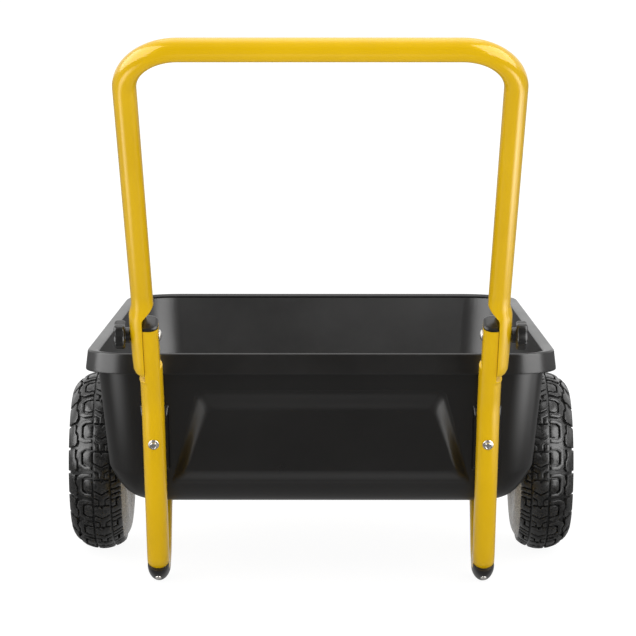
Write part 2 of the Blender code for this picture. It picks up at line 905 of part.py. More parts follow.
for side, hand, phase in ((-1, "left", left_knob_turn), (1, "right", right_knob_turn)):
    out = AXIS_X * side
    round_head_bolt(
        hand + "_knob_bolt",
        joint_bolt_head,
        joint_bolt_head_height,
        joint_bolt_diameter,
        bolt_length,
        pivot + out * bolt_seat,
        -out,
    )
    knob_frame = frame(hand + "_knob_axis", pivot + out * knob_seat, cart)
    boss = knob_boss_diameter / 2
    grip = knob_diameter / 2
    edge = knob_round
    heights = (
        (0, boss, 0),
        (knob_boss_length, boss, 0),
        (knob_boss_length, grip - edge, knob_lobe_depth),
        (knob_boss_length + edge, grip, knob_lobe_depth),
        (knob_boss_length + knob_thickness - edge, grip, knob_lobe_depth),
        (knob_boss_length + knob_thickness, grip - edge, knob_lobe_depth),
    )
    knob = add_bmesh(
        hand + "_knob",
        skin([knob_ring(side * height, radius, lobes, phase) for height, radius, lobes in heights]),
        black_plastic,
        knob_frame,
    )
    bore = knob_boss_length + knob_bore_reach
    drill(knob, [(out * (bore / 2 - seat_gap), AXIS_X, joint_hole, bore)], knob_frame)

# Axle: a plain rod through both rails
hub_inner = wheel_track / 2 - hub_length / 2
hub_outer = wheel_track / 2 + hub_length / 2
nut_face = hub_outer + running_clearance + axle_washer_thickness + seat_gap
axle_half = nut_face + axle_nut_height + axle_end
turned(
    "axle",
    [(0, axle_half), (axle_diameter / 2, axle_half), (axle_diameter / 2, -axle_half), (0, -axle_half)],
    zinc_plate,
    cart,
    place=axle_centre,
    steps=wheel_steps,
)
axle_bore = bore_radius(axle_diameter + 2 * seat_gap, ring_sides)


def rim_profile():
    """The pressed rim's middle surface, from its bolted disc out to its flange."""
    sheet_level = rim_sheet / 2 + seat_gap / 2
    well = rim_well_diameter / 2
    seat = bead_diameter / 2 - rim_sheet / 2
    edge = rim_width / 2
    return [
        (seat + rim_flange_height, edge),
        (seat, edge - rim_flange_run),
        (seat, rim_seat_inner),
        (well, sheet_level),
        (hub_diameter / 2 + bore_radius(2 * seat_gap, wheel_steps), sheet_level),
    ]


def tyre_section():
    """The tyre's section as height and radius pairs, closed round its carcass, and its tread's edge."""
    half = tyre_width / 2
    bead = bead_diameter / 2 + seat_gap
    flange = bead + rim_flange_height
    bead_out = rim_width / 2 - rim_flange_run - rim_sheet / 4
    middle = (flange + tyre_radius) / 2
    outer = [(bead_out - bead_width / 2, bead), (bead_out, flange)]
    for degrees in (-40, 10):
        angle = math.radians(degrees)
        level = math.cos(angle)
        outer.append((bead_out + (half - bead_out) * level, middle + (middle - flange) * math.sin(angle)))
    tread_edge = len(outer)
    for step in range(tread_columns // 2, 0, -1):
        share = 2 * step / tread_columns
        outer.append((tread_width / 2 * share, tyre_radius - tread_depth - tread_drop * share * share))
    inner = [(bead_out - bead_width, bead)]
    inner.append((half - tyre_wall, middle - tyre_wall))
    belt = tread_width / 5
    belt_drop = tread_drop * (2 * belt / tread_width) ** 2
    inner.append((belt, tyre_radius - tread_depth - tyre_wall - belt_drop))
    crown = [(0, tyre_radius - tread_depth)]
    half_section = outer + crown
    other_side = [(-height, radius) for height, radius in reversed(outer)]
    inside = [(-height, radius) for height, radius in inner] + inner[::-1]
    return half_section + other_side + inside, outer[tread_edge]


def raise_tread(bm, points, first):
    """Raises interlocking hooked blocks, three faces each, out of the tread band between narrow grooves."""
    bm.faces.ensure_lookup_table()
    hooks = (((0, 0), (0, 1), (1, 0)), ((0, 2), (1, 1), (1, 2)))
    last = tread_columns - 1
    blocks = []
    for row in range(0, tyre_steps, 2):
        for hook in hooks:
            blocks.append([(row + ahead, column) for ahead, column in hook])
            blocks.append([(row + 1 + ahead, last - column) for ahead, column in hook])
    band = [
        [bm.faces[row * points + first + column] for column in range(tread_columns)] for row in range(tyre_steps)
    ]
    for block in blocks:
        faces = [band[row % tyre_steps][column] for row, column in block]
        bmesh.ops.inset_region(bm, faces=faces, thickness=tread_groove / 2, use_even_offset=True)
        for vert in {vert for face in faces for vert in face.verts}:
            vert.co += Vector((0, vert.co.y, vert.co.z)).normalized() * tread_depth


for side, hand in ((-1, "left"), (1, "right")):
    out = AXIS_X * side
    across = axle_centre + out * rail_x
    wheel = frame(hand + "_wheel_axis", axle_centre + out * wheel_track / 2, cart)
    spacer_low = rail_radius + seat_gap
    spacer_high = hub_inner - running_clearance - rail_x
    turned(
        hand + "_axle_spacer",
        tube_profile(spacer_diameter / 2, axle_bore, spacer_low, spacer_high),
        zinc_plate,
        cart,
        place=across,
        axis=out,
        closed=True,
    )
    turned(
        hand + "_axle_washer",
        tube_profile(axle_washer_diameter / 2, axle_bore, 0, axle_washer_thickness),
        zinc_plate,
        cart,
        place=axle_centre + out * (hub_outer + running_clearance),
        axis=out,
        closed=True,
    )
    hex_nut(
        hand + "_axle_nut",
        axle_nut_width,
        axle_nut_height,
        axle_diameter + 2 * seat_gap,
        axle_centre + out * nut_face,
        out,
    )
    hub_radius = hub_diameter / 2
    bearing_radius = hub_radius - hub_wall
    hub_bore = bore_radius(2 * bearing_radius, wheel_steps)
    turned(
        hand + "_hub_tube",
        tube_profile(hub_radius, hub_bore, -hub_length / 2, hub_length / 2),
        zinc_plate,
        wheel,
        axis=out,
        steps=wheel_steps,
        closed=True,
    )
    for label, end in (("outer", 1), ("inner", -1)):
        face = hub_length / 2 - bearing_width / 2
        turned(
            f"{hand}_{label}_bearing",
            tube_profile(bearing_radius - seat_gap, axle_bore, -bearing_width / 2, bearing_width / 2),
            zinc_plate,
            wheel,
            place=out * end * face,
            axis=out,
            closed=True,
        )
        name = f"{hand}_{label}_rim"
        rim = turned(name, rim_profile(), rim_paint, wheel, axis=out * end, steps=wheel_steps)
        sheet = rim.modifiers.new("Sheet", "SOLIDIFY")
        sheet.thickness = rim_sheet
        sheet.offset = 0
        circle = [
            Matrix.Rotation(2 * math.pi * i / rim_bolt_count, 3, "X") @ Vector((0, rim_bolt_circle / 2, 0))
            for i in range(rim_bolt_count)
        ]
        holes = [(point, AXIS_X, bolt_hole, rim_sheet * 6) for point in circle]
        valve_point = Vector((0, 1, 1)).normalized() * valve_radius
        if end == 1:
            valve_hole = valve_diameter + 4 * seat_gap
            holes.append((valve_point + out * rim_width / 6, AXIS_X, valve_hole, rim_width / 3))
        drill(rim, holes, wheel)
    grip = rim_sheet + seat_gap * 1.5
    for i, point in enumerate(circle):
        round_profile = [
            (0, grip + bolt_head_height),
            (bolt_head_width / 2, grip + bolt_head_height),
            (bolt_head_width / 2, grip),
            (bolt_diameter / 2, grip),
            (bolt_diameter / 2, -grip),
            (bolt_head_width / 2, -grip),
            (bolt_head_width / 2, -grip - bolt_head_height),
            (0, -grip - bolt_head_height),
        ]
        turned(f"{hand}_rim_bolt_{i + 1}", round_profile, zinc_plate, wheel, place=point, axis=out, steps=6)
    valve_low = rim_width / 12
    valve_high = valve_low + valve_length
    stem = valve_diameter / 2
    turned(
        hand + "_valve_stem",
        [(0, valve_high), (stem * 0.6, valve_high), (stem * 0.6, valve_high - valve_cap_length * 0.6)]
        + [(stem, valve_high - valve_cap_length), (stem, valve_low), (0, valve_low)],
        tyre_rubber,
        wheel,
        place=valve_point,
        axis=out,
        steps=fastener_sides,
    )
    turned(
        hand + "_valve_cap",
        [
            (0, valve_high + valve_cap_length * 0.7),
            (stem * 0.7, valve_high + valve_cap_length * 0.7),
            (stem * 0.8, valve_high + seat_gap),
            (0, valve_high + seat_gap),
        ],
        black_plastic,
        wheel,
        place=valve_point,
        axis=out,
        steps=fastener_sides,
    )
    section, tread_edge = tyre_section()
    rings = []
    for step in range(tyre_steps):
        angle = 2 * math.pi * step / tyre_steps
        spoke = Vector((0, math.sin(angle), -math.cos(angle)))
        rings.append([out * height + spoke * radius for height, radius in section])
    tyre = skin(rings, "joined")
    raise_tread(tyre, len(section), section.index(tread_edge))
    add_bmesh(hand + "_tyre", tyre, tyre_rubber, wheel)
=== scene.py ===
"""Looks of the yard cart: its finishes and its finer pieces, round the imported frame."""

import json
import math

import bmesh
import bpy
from mathutils import Matrix, Vector


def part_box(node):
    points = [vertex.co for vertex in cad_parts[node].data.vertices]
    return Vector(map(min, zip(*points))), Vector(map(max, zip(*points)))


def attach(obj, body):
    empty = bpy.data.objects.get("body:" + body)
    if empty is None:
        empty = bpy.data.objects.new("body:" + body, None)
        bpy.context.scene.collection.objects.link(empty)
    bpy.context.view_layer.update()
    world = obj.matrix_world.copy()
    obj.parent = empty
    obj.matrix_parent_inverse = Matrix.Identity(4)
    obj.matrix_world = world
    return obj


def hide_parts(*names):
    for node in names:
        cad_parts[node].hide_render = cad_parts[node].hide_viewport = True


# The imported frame, and the two places that the pieces are measured from: the handle's joint and the axle
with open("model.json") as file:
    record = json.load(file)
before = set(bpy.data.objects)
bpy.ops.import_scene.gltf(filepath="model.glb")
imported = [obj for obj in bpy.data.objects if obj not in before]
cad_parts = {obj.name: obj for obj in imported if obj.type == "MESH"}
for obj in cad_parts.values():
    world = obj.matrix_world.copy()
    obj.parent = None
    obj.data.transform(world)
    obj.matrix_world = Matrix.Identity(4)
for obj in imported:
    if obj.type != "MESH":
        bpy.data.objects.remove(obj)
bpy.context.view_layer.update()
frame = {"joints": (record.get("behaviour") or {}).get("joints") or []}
joint_at = {joint["name"]: Vector(joint["pos_m"]) for joint in frame["joints"]}
pivot = joint_at["handle_fold"]
axle = Vector((0, *joint_at["left_wheel_spin"].yz))


# Studio
# A white floor that runs on into a white backdrop, a broad soft lamp above and one at each side,
# and the camera straight behind the cart, a little above its handle.
def add_node(tree, kind, *values, options=None, **inputs):
    """A node whose inputs are filled in order by values, or by name; a socket among them is linked."""
    made = tree.nodes.new("ShaderNode" + kind)
    for name, value in (options or {}).items():
        setattr(made, name, value)
    filled = [(made.inputs[i], value) for i, value in enumerate(values)]
    filled += [(made.inputs[name.replace("_", " ")], value) for name, value in inputs.items()]
    for socket, value in filled:
        if isinstance(value, bpy.types.NodeSocket):
            tree.links.new(value, socket)
        else:
            socket.default_value = value
    return made


def new_material(name):
    """An empty material, its node tree and its output node."""
    material = bpy.data.materials.new(name)
    material.use_nodes = True
    material.node_tree.nodes.clear()
    return material, material.node_tree, material.node_tree.nodes.new("ShaderNodeOutputMaterial")


white = (1, 1, 1, 1)


def ranged(tree, value, low, high, to_low=0.0, to_high=1.0):
    """A number that goes from to_low to to_high while value goes from low to high."""
    made = add_node(tree, "MapRange", value, From_Min=low, From_Max=high, To_Min=to_low, To_Max=to_high)
    return made.outputs[0]


def maths(tree, operation, *values):
    return add_node(tree, "Math", *values, options={"operation": operation}).outputs[0]


def chosen(tree, share, first, second):
    """A number that goes from first to second with share."""
    first = maths(tree, "MULTIPLY", maths(tree, "SUBTRACT", 1.0, share), first)
    return maths(tree, "ADD", first, maths(tree, "MULTIPLY", share, second))


def spot(tree, x, y, radius, strength):
    """A soft round patch of light round a place on the floor."""
    place = add_node(tree, "NewGeometry").outputs["Position"]
    between = add_node(tree, "VectorMath", place, (x, y, 0), options={"operation": "DISTANCE"})
    away = between.outputs["Value"]
    smooth = {"interpolation_type": "SMOOTHSTEP"}
    return add_node(tree, "MapRange", away, 0.0, radius, strength, 0.0, options=smooth).outputs[0]


floor_glow = 0.94
floor_shade = 0.15
floor_bounce = 0.8
floor_shine = 0.20
strip_shine = 0.35
# Bright patches of the floor that only glossy surfaces show: x, y, radius and strength
reflectors = (
    (-0.65, -0.33, 0.30, 2.6),
    (0.64, -0.33, 0.30, 5.0),
    (0.95, -0.12, 0.45, 2.0),
    (0.00, -1.30, 0.60, 0.75),
    (-0.84, -0.72, 0.42, 5.0),
    (0.88, -0.70, 0.42, 6.5),
)

# To the camera the floor is white with the cart's shadow, to matt surfaces it is matt white, and glossy
# ones show it dim, with a lighter strip beneath the tub and the bright patches.
studio_white, tree, output = new_material("studio_white")
ray = add_node(tree, "LightPath").outputs
mirrored = maths(tree, "MAXIMUM", ray["Is Glossy Ray"], ray["Is Transmission Ray"])
shadowed = add_node(tree, "BsdfDiffuse", Color=(floor_shade, floor_shade, floor_shade, 1))
glow = add_node(tree, "Emission", Color=white, Strength=floor_glow)
seen = add_node(tree, "AddShader", glow.outputs[0], shadowed.outputs[0])
matt = add_node(tree, "BsdfDiffuse", Color=(floor_bounce, floor_bounce, floor_bounce, 1))
seen = add_node(tree, "MixShader", ray["Is Camera Ray"], matt.outputs[0], seen.outputs[0])
spread = add_node(tree, "SeparateXYZ", add_node(tree, "NewGeometry").outputs["Position"]).outputs
strip = ranged(tree, maths(tree, "ABSOLUTE", spread["X"]), 0.27, 0.33, 1.0, 0.0)
strip = maths(tree, "MULTIPLY", strip, ranged(tree, spread["Y"], -0.24, 0.10, 0.0, strip_shine))
shine = maths(tree, "ADD", strip, floor_shine)
for reflector in reflectors:
    shine = maths(tree, "ADD", shine, spot(tree, *reflector))
glow = add_node(tree, "Emission", Color=white, Strength=shine)
mixed = add_node(tree, "MixShader", mirrored, seen.outputs[0], glow.outputs[0])
tree.links.new(mixed.outputs[0], output.inputs["Surface"])

floor_bm = bmesh.new()
bmesh.ops.create_grid(floor_bm, x_segments=1, y_segments=1, size=30)
floor_mesh = bpy.data.meshes.new("studio_floor")
floor_bm.to_mesh(floor_mesh)
floor_bm.free()
floor_mesh.materials.append(studio_white)
floor = bpy.data.objects.new("studio_floor", floor_mesh)
bpy.context.scene.collection.objects.link(floor)

# The backdrop is white to the camera. Glossy surfaces show it dark behind the camera, and white beyond the
# cart and straight above.
world = bpy.data.worlds.new("studio_world")
world.use_nodes = True
tree = world.node_tree
tree.nodes.clear()
ray = add_node(tree, "LightPath").outputs
facing = add_node(tree, "TexCoord").outputs["Generated"]
towards = add_node(tree, "SeparateXYZ", facing).outputs
ahead = ranged(tree, towards["Y"], -0.35, -0.05, 0.05, 1.0)
ahead = maths(tree, "MAXIMUM", ahead, ranged(tree, towards["Z"], 0.30, 0.60, 0.0, 0.30))
ahead = maths(tree, "MAXIMUM", ahead, ranged(tree, towards["Z"], 0.84, 0.95, 0.0, 1.1))
world_light = 1.10
shown = chosen(tree, ray["Is Glossy Ray"], world_light, ahead)
shown = maths(tree, "MAXIMUM", shown, ray["Is Camera Ray"])
shown = maths(tree, "MAXIMUM", shown, ray["Is Transmission Ray"])
background = add_node(tree, "Background", Color=white, Strength=shown)
world_output = tree.nodes.new("ShaderNodeOutputWorld")
tree.links.new(background.outputs[0], world_output.inputs["Surface"])
bpy.context.scene.world = world


lamp_aim = Vector((0, 0, 0.3))


def softbox(name, bearing, distance, height, width, tall, radiance, diffuse):
    """A lamp that faces the tub; its bearing goes from straight behind the cart round to the right.

    Diffuse says whether matt surfaces are lit by it too, or only glossy ones show it.
    """
    angle = math.radians(bearing)
    data = bpy.data.lights.new(name, "AREA")
    data.shape = "RECTANGLE"
    data.size = width
    data.size_y = tall
    data.energy = radiance * math.pi * width * tall
    lamp = bpy.data.objects.new(name, data)
    lamp.location = (distance * math.sin(angle), -distance * math.cos(angle), height)
    lamp.rotation_euler = (lamp_aim - lamp.location).to_track_quat("-Z", "Y").to_euler()
    lamp.visible_camera = False
    lamp.visible_diffuse = diffuse
    bpy.context.scene.collection.objects.link(lamp)


softbox("left_lamp", -67, 2.8, 1.5, 3.6, 3.0, 4.8, False)
softbox("right_lamp", 56, 2.8, 1.6, 3.0, 3.2, 5.6, False)
softbox("top_lamp", 180, 0.3, 3.0, 2.2, 2.2, 1.3, True)

eye = Vector((0.0073, -4.004, 0.8424))
down_tilt = math.radians(6.631)
left_turn = math.radians(0.166)
camera_data = bpy.data.cameras.new("camera")
lens_length = 158.5
camera_data.lens = lens_length
camera_data.sensor_width = 36
camera = bpy.data.objects.new("camera", camera_data)
camera.location = eye
camera.rotation_euler = (math.pi / 2 - down_tilt, 0, left_turn)
bpy.context.scene.collection.objects.link(camera)
bpy.context.scene.camera = camera
bpy.context.scene.view_settings.view_transform = "Standard"


# Rails
# Two bent steel tubes, powder coated yellow. Each comes down from the handle's joint, turns under
# as a foot, and runs on beneath the tub's floor. Its upper end is pressed flat for the joint.
def group(name, inputs, outputs):
    """An empty shader group with float inputs, each given with its usual value, and its two end nodes."""
    made = bpy.data.node_groups.new(name, "ShaderNodeTree")
    for label, value in inputs:
        socket = made.interface.new_socket(label, in_out="INPUT", socket_type="NodeSocketFloat")
        socket.default_value = value
    for label in outputs:
        made.interface.new_socket(label, in_out="OUTPUT", socket_type="NodeSocketFloat")
    return made, made.nodes.new("NodeGroupInput").outputs, made.nodes.new("NodeGroupOutput").inputs


def use_group(tree, source, **inputs):
    """The outputs of a shader group placed in a material."""
    made = tree.nodes.new("ShaderNodeGroup")
    made.node_tree = source
    for name, value in inputs.items():
        socket = made.inputs[name]
        if isinstance(value, bpy.types.NodeSocket):
            tree.links.new(value, socket)
        else:
            socket.default_value = value
    return made.outputs


def spots(tree, scale, detail=2.0, roughness=0.5):
    """Noise over the piece, scale spots to the metre."""
    place = add_node(tree, "TexCoord").outputs["Object"]
    made = add_node(tree, "TexNoise", Vector=place, Scale=scale, Detail=detail, Roughness=roughness)
    return made.outputs[0]


def blended(tree, share, first, second):
    """A colour between first and second."""
    made = add_node(tree, "Mix", options={"data_type": "RGBA"})
    for index, value in ((0, share), (6, first), (7, second)):
        if isinstance(value, bpy.types.NodeSocket):
            tree.links.new(value, made.inputs[index])
        else:
            made.inputs[index].default_value = value if index == 0 else (*value, 1)
    return made.outputs[2]


grain, given, taken = group("fine_grain", (("Scale", 900.0), ("Blotches", 14.0)), ("Height", "Mottle"))
grain.links.new(spots(grain, given["Scale"], 3.0, 0.6), taken["Height"])
grain.links.new(ranged(grain, spots(grain, given["Blotches"], 4.0, 0.55), 0.3, 0.7), taken["Mottle"])

# A mask on pointed edges: worn paint where the rims use it, and a painted highlight, a glint on the block
# edges, where the tyres use it.
edge_mask_inputs = (("Start", 0.53), ("Full", 0.60), ("Breakup", 120.0))
edge_wear_and_glint_group, given, taken = group("worn_and_glinting_edges", edge_mask_inputs, ("Mask",))
pointed = add_node(edge_wear_and_glint_group, "NewGeometry").outputs["Pointiness"]
edge = add_node(edge_wear_and_glint_group, "MapRange", pointed, given["Start"], given["Full"]).outputs[0]
broken = ranged(edge_wear_and_glint_group, spots(edge_wear_and_glint_group, given["Breakup"], 3.0, 0.6), 0.35, 0.65)
edge_wear_and_glint_group.links.new(maths(edge_wear_and_glint_group, "MULTIPLY", edge, broken), taken["Mask"])

dusty, given, taken = group("settled_dust", (("Amount", 0.3), ("Patches", 30.0)), ("Mask",))
up = add_node(dusty, "SeparateXYZ", add_node(dusty, "NewGeometry").outputs["Normal"]).outputs["Z"]
upward = ranged(dusty, up, -0.2, 1.0)
patchy = ranged(dusty, spots(dusty, given["Patches"], 6.0, 0.7), 0.4, 0.75)
dust = maths(dusty, "MULTIPLY", maths(dusty, "MULTIPLY", upward, patchy), given["Amount"])
dusty.links.new(dust, taken["Mask"])


def surface(tree, output, colour, roughness, height, bump_depth, bump_strength=1.0, **fixed):
    """A Principled surface with a bumped normal; fixed holds the settings that are the same all over."""
    bump = add_node(tree, "Bump", Strength=bump_strength, Distance=bump_depth, Height=height)
    shader = add_node(tree, "BsdfPrincipled", Base_Color=colour, Roughness=roughness, **fixed)
    tree.links.new(bump.outputs["Normal"], shader.inputs["Normal"])
    tree.links.new(shader.outputs[0], output.inputs["Surface"])


yellow_paint, tree, output = new_material("yellow_powder_coat")
skin_of_paint = use_group(tree, grain, Scale=420.0, Blotches=9.0)
dust = use_group(tree, dusty, Amount=0.06, Patches=60.0)["Mask"]
colour = blended(tree, skin_of_paint["Mottle"], (0.755, 0.455, 0.0010), (0.81, 0.495, 0.0020))
colour = blended(tree, dust, colour, (0.66, 0.47, 0.08))
roughness = ranged(tree, skin_of_paint["Mottle"], 0.0, 1.0, 0.27, 0.36)
surface(
    tree, output, colour, roughness, skin_of_paint["Height"], 0.00012, 0.25,
    Specular_IOR_Level=0.40, Specular_Tint=(1.0, 0.72, 0.05, 1), Coat_Weight=0.60, Coat_Roughness=0.10,
)

rail_low, rail_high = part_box("right_rail")
rail_x = (rail_low.x + rail_high.x) / 2
rail_radius = (rail_high.x - rail_low.x) / 2
rail_wall = 0.0015
upper_lean = math.radians(35)
lower_lean = math.radians(22.5)
floor_slope = math.radians(7.5)
foot_rise = math.radians(68)
rail_stub = 0.019
rail_bend_height = 0.280
rail_bend_radius = 0.150
foot_bend_radius = 0.035
floor_bend_radius = 0.050
sole_thickness = 0.0063
sole_flat = 0.0010
rail_front_reach = 0.270
joint_face = 0.008
joint_face_below = 0.0718
inner_press = 0.013
inner_press_below = 0.053
press_run = 0.009
press_step = 0.003
pressed_spread = 0.9
unpressed = rail_radius + 0.002
rail_bend_steps = 8
foot_bend_steps = 22
floor_bend_steps = 14
tube_sides = 40
AXIS_X = Vector((1, 0, 0))
upper_down = Vector((0, math.sin(upper_lean), -math.cos(upper_lean)))
lower_down = Vector((0, math.sin(lower_lean), -math.cos(lower_lean)))
floor_run = Vector((0, math.cos(floor_slope), math.sin(floor_slope)))
floor_normal = Vector((0, -math.sin(floor_slope), math.cos(floor_slope)))
foot_up = Vector((0, math.cos(foot_rise), math.sin(foot_rise)))


def ring_edges(bm, ring):
    """The edges that join a ring's vertices, each to the next."""
    return [bm.edges.get((a, b)) for a, b in zip(ring, ring[1:] + ring[:1])]


def sweep(outlines, joined=False):
    """A bmesh drawn through outlines of equal length, by extruding a ring from each to the next.

    Its ends are closed by a face, or the last outline is bridged to the first.
    """
    bm = bmesh.new()
    ring = bmesh.ops.create_circle(bm, segments=len(outlines[0]), radius=1)["verts"]
    for vert, point in zip(ring, outlines[0]):
        vert.co = point
    start = edges = ring_edges(bm, ring)
    for outline in outlines[1:]:
        grown = bmesh.ops.extrude_edge_only(bm, edges=edges)["geom"]
        fresh = {item for item in grown if isinstance(item, bmesh.types.BMVert)}
        ring = [
            next(other for other in (edge.other_vert(vert) for edge in vert.link_edges) if other in fresh)
            for vert in ring
        ]
        for vert, point in zip(ring, outline):
            vert.co = point
        edges = ring_edges(bm, ring)
    if joined:
        bmesh.ops.bridge_loops(bm, edges=start + edges)
    else:
        bmesh.ops.contextual_create(bm, geom=start)
        bmesh.ops.contextual_create(bm, geom=edges)
    bmesh.ops.recalc_face_normals(bm, faces=bm.faces)
    return bm


def object_of(name, bm, sharp=30):
    """A new object from a bmesh, shaded smooth except where faces meet at more than sharp degrees."""
    mesh = bpy.data.meshes.new(name)
    bm.to_mesh(mesh)
    bm.free()
    mesh.shade_smooth()
    mesh.set_sharp_from_angle(angle=math.radians(sharp))
    made = bpy.data.objects.new(name, mesh)
    bpy.context.scene.collection.objects.link(made)
    return made


def fit(piece, material, body, slot, *nodes):
    """Gives a piece its material and body, and lets it stand for the CAD nodes named; slot is not used."""
    piece.data.materials.append(material)
    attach(piece, body)
    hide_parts(*nodes)
    return piece


def bend(start, before, after, radius, steps):
    """Stations round a bend, each a point and a direction, from start where it leaves the straight."""
    axis = before.cross(after).normalized()
    inward = axis.cross(before)
    turns = [Matrix.Rotation(before.angle(after) * step / steps, 3, axis) for step in range(steps + 1)]
    return [(start + (inward - turn @ inward) * radius, turn @ before) for turn in turns]


def bend_at(corner, before, after, radius, steps):
    """Stations round a bend whose two straights would meet at corner."""
    reach = radius * math.tan(before.angle(after) / 2)
    return bend(corner - before * reach, before, after, radius, steps)


def ease(value):
    """A soft step from 0 to 1."""
    share = min(max(value, 0.0), 1.0)
    return share * share * (3 - 2 * share)


def soft_limit(reach, limit, softness=0.0012):
    """Reach held below limit, easing into it over softness."""
    over = reach - limit + softness
    return reach if over < 0 else limit - softness * math.exp(-over / softness)


def tube_ring(point, direction, across, radius, outer=1.0, inner=1.0, shift=0.0, fuller=1.0):
    """A round section; outer and inner limit how far it reaches along across and against it.

    Fuller, above 1, spreads its outer side as pressing does, so that the flat there is wider.
    """
    upright = direction.cross(across)
    ring = []
    for step in range(tube_sides):
        angle = 2 * math.pi * step / tube_sides
        spread_out = fuller if math.cos(angle) > 0 else 1.0
        reach = soft_limit(shift + radius * math.cos(angle) * spread_out, outer)
        reach = -soft_limit(-reach, inner)
        ring.append(point + across * reach + upright * (radius * math.sin(angle)))
    return ring


rail_bend_point = pivot + upper_down * ((pivot.z - rail_bend_height) / math.cos(upper_lean))
foot_height = sole_thickness + rail_radius + foot_bend_radius
foot_drop = rail_bend_height + foot_bend_radius * math.sin(lower_lean) - foot_height
foot_start = rail_bend_point + lower_down * (foot_drop / math.cos(lower_lean))
foot_centre = foot_start + Vector((0, math.cos(lower_lean), math.sin(lower_lean))) * foot_bend_radius
foot_stations = bend(foot_start, lower_down, foot_up, foot_bend_radius, foot_bend_steps)
foot_end = foot_stations[-1][0]
floor_corner = foot_end + foot_up * ((axle - foot_end).dot(floor_normal) / foot_up.dot(floor_normal))
rail_stations = [(pivot - upper_down * rail_stub, upper_down, -rail_stub)]
for from_pivot in (
    *(inner_press_below + press_step * step / 4 for step in range(-1, 6)),
    *(joint_face_below + press_run * step / 6 for step in range(-1, 8)),
):
    rail_stations.append((pivot + upper_down * from_pivot, upper_down, from_pivot))
for point, direction in (
    bend_at(rail_bend_point, upper_down, lower_down, rail_bend_radius, rail_bend_steps)
    + foot_stations
    + bend_at(floor_corner, foot_up, floor_run, floor_bend_radius, floor_bend_steps)
    + [(axle + floor_run * rail_front_reach, floor_run)]
):
    rail_stations.append((point, direction, 1.0))


def rail_rings(side, wall):
    """A rail's rings from its pressed upper end to its front end, wall inside its outer face."""
    rings = []
    for point, direction, from_pivot in rail_stations:
        round_again = ease((from_pivot - joint_face_below) / press_run)
        outer = joint_face + (unpressed - joint_face) * round_again
        fuller = 1 + pressed_spread * (1 - round_again)
        round_again = ease((from_pivot - inner_press_below) / press_step)
        inner = inner_press + (unpressed - inner_press) * round_again
        rings.append(
            tube_ring(
                point + AXIS_X * side * rail_x,
                direction,
                AXIS_X * side,
                rail_radius - wall,
                outer - wall,
                inner - wall,
                fuller=fuller,
            )
        )
    return rings


sides = ((-1, "left"), (1, "right"))
for side, hand in sides:
    tube = sweep(rail_rings(side, 0) + rail_rings(side, rail_wall)[::-1], joined=True)
    fit(object_of(f"{hand}_rail_tube", tube), yellow_paint, "frame", "yellow_paint", f"{hand}_rail")

# Rail plugs
# Black moulded plugs pushed into both ends of each rail. Their domed heads cover the tube's cut edge,
# and the upper ones are as flat on both sides as the pressed tube that they close.
black_plastic, tree, output = new_material("black_moulded_plastic")
moulded = use_group(tree, grain, Scale=1500.0, Blotches=7.0)
dust = use_group(tree, dusty, Amount=0.16, Patches=45.0)["Mask"]
colour = blended(tree, moulded["Mottle"], (0.0072, 0.0066, 0.0062), (0.0098, 0.0090, 0.0085))
colour = blended(tree, dust, colour, (0.06, 0.057, 0.052))
roughness = ranged(tree, moulded["Mottle"], 0.0, 1.0, 0.27, 0.34)
surface(tree, output, colour, roughness, moulded["Height"], 0.00006, 0.25)

plug_gap = 0.0003
plug_depth = 0.012
plug_rim = 0.002
plug_dome = 0.007
plug_edge = 0.0004
dome_turn = math.radians(80)
dome_steps = 7


def plug(name, end, outward, side, outer, inner, fuller, node):
    """A plug: its stem fills the tube's bore, and its domed head covers the tube's end."""
    bore = plug_gap + rail_wall
    sizes = [(-plug_depth, bore), (plug_gap, bore), (plug_gap, plug_edge), (plug_gap + plug_edge, 0)]
    for step in range(dome_steps + 1):
        angle = dome_turn * step / dome_steps
        height = plug_rim + (plug_dome - plug_rim) * math.sin(angle)
        sizes.append((height, rail_radius * (1 - math.cos(angle))))
    rings = [
        tube_ring(
            end + AXIS_X * side * rail_x + outward * height,
            outward,
            AXIS_X * side,
            rail_radius - inset,
            outer - inset * outer / rail_radius,
            inner - inset * inner / rail_radius,
            fuller=fuller,
        )
        for height, inset in sizes
    ]
    fit(object_of(name, sweep(rings)), black_plastic, "frame", "black_plastic", node)


for side, hand in sides:
    end = pivot - upper_down * rail_stub
    node = f"{hand}_rail_top_plug"
    plug(f"{hand}_top_plug", end, -upper_down, side, joint_face, inner_press, 1 + pressed_spread, node)
    end = axle + floor_run * rail_front_reach
    node = f"{hand}_rail_front_plug"
    plug(f"{hand}_front_plug", end, floor_run, side, unpressed, unpressed, 1.0, node)

# Tub
# One moulded shell of black plastic, with a down-turned rim that flares a little, drafted sides, a
# trapezoid panel and two pads pressed out of its rear wall, and an arched recess for each wheel.
tub_low, tub_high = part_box("tub")
rim_height = tub_high.z
rear_face = tub_low.y
front_face = tub_high.y
tub_half_rear = tub_high.x
tub_half_front = 0.3205
tub_wall = 0.0035
rim_corner = 0.065
front_corner_more = 0.024
rim_edge_round = 0.003
lip_drop = 0.029
lip_flare = 0.0035
lip_overhang = 0.018
side_draft = math.tan(math.radians(3.5))
rear_lean = math.tan(lower_lean)
front_angle = math.radians(24)
front_lean = math.tan(front_angle)
floor_tilt = math.tan(floor_slope)
floor_corner_round = 0.048
fillet_flatness = 0.5
fillet_rise = 0.053
side_fillet = 0.031
end_fillet = 0.022
lip_bottom = rim_height - lip_drop
least_corner = 0.01
corner_steps = 16
fillet_steps = 12
round_steps = 5
seat_gap = 0.0003


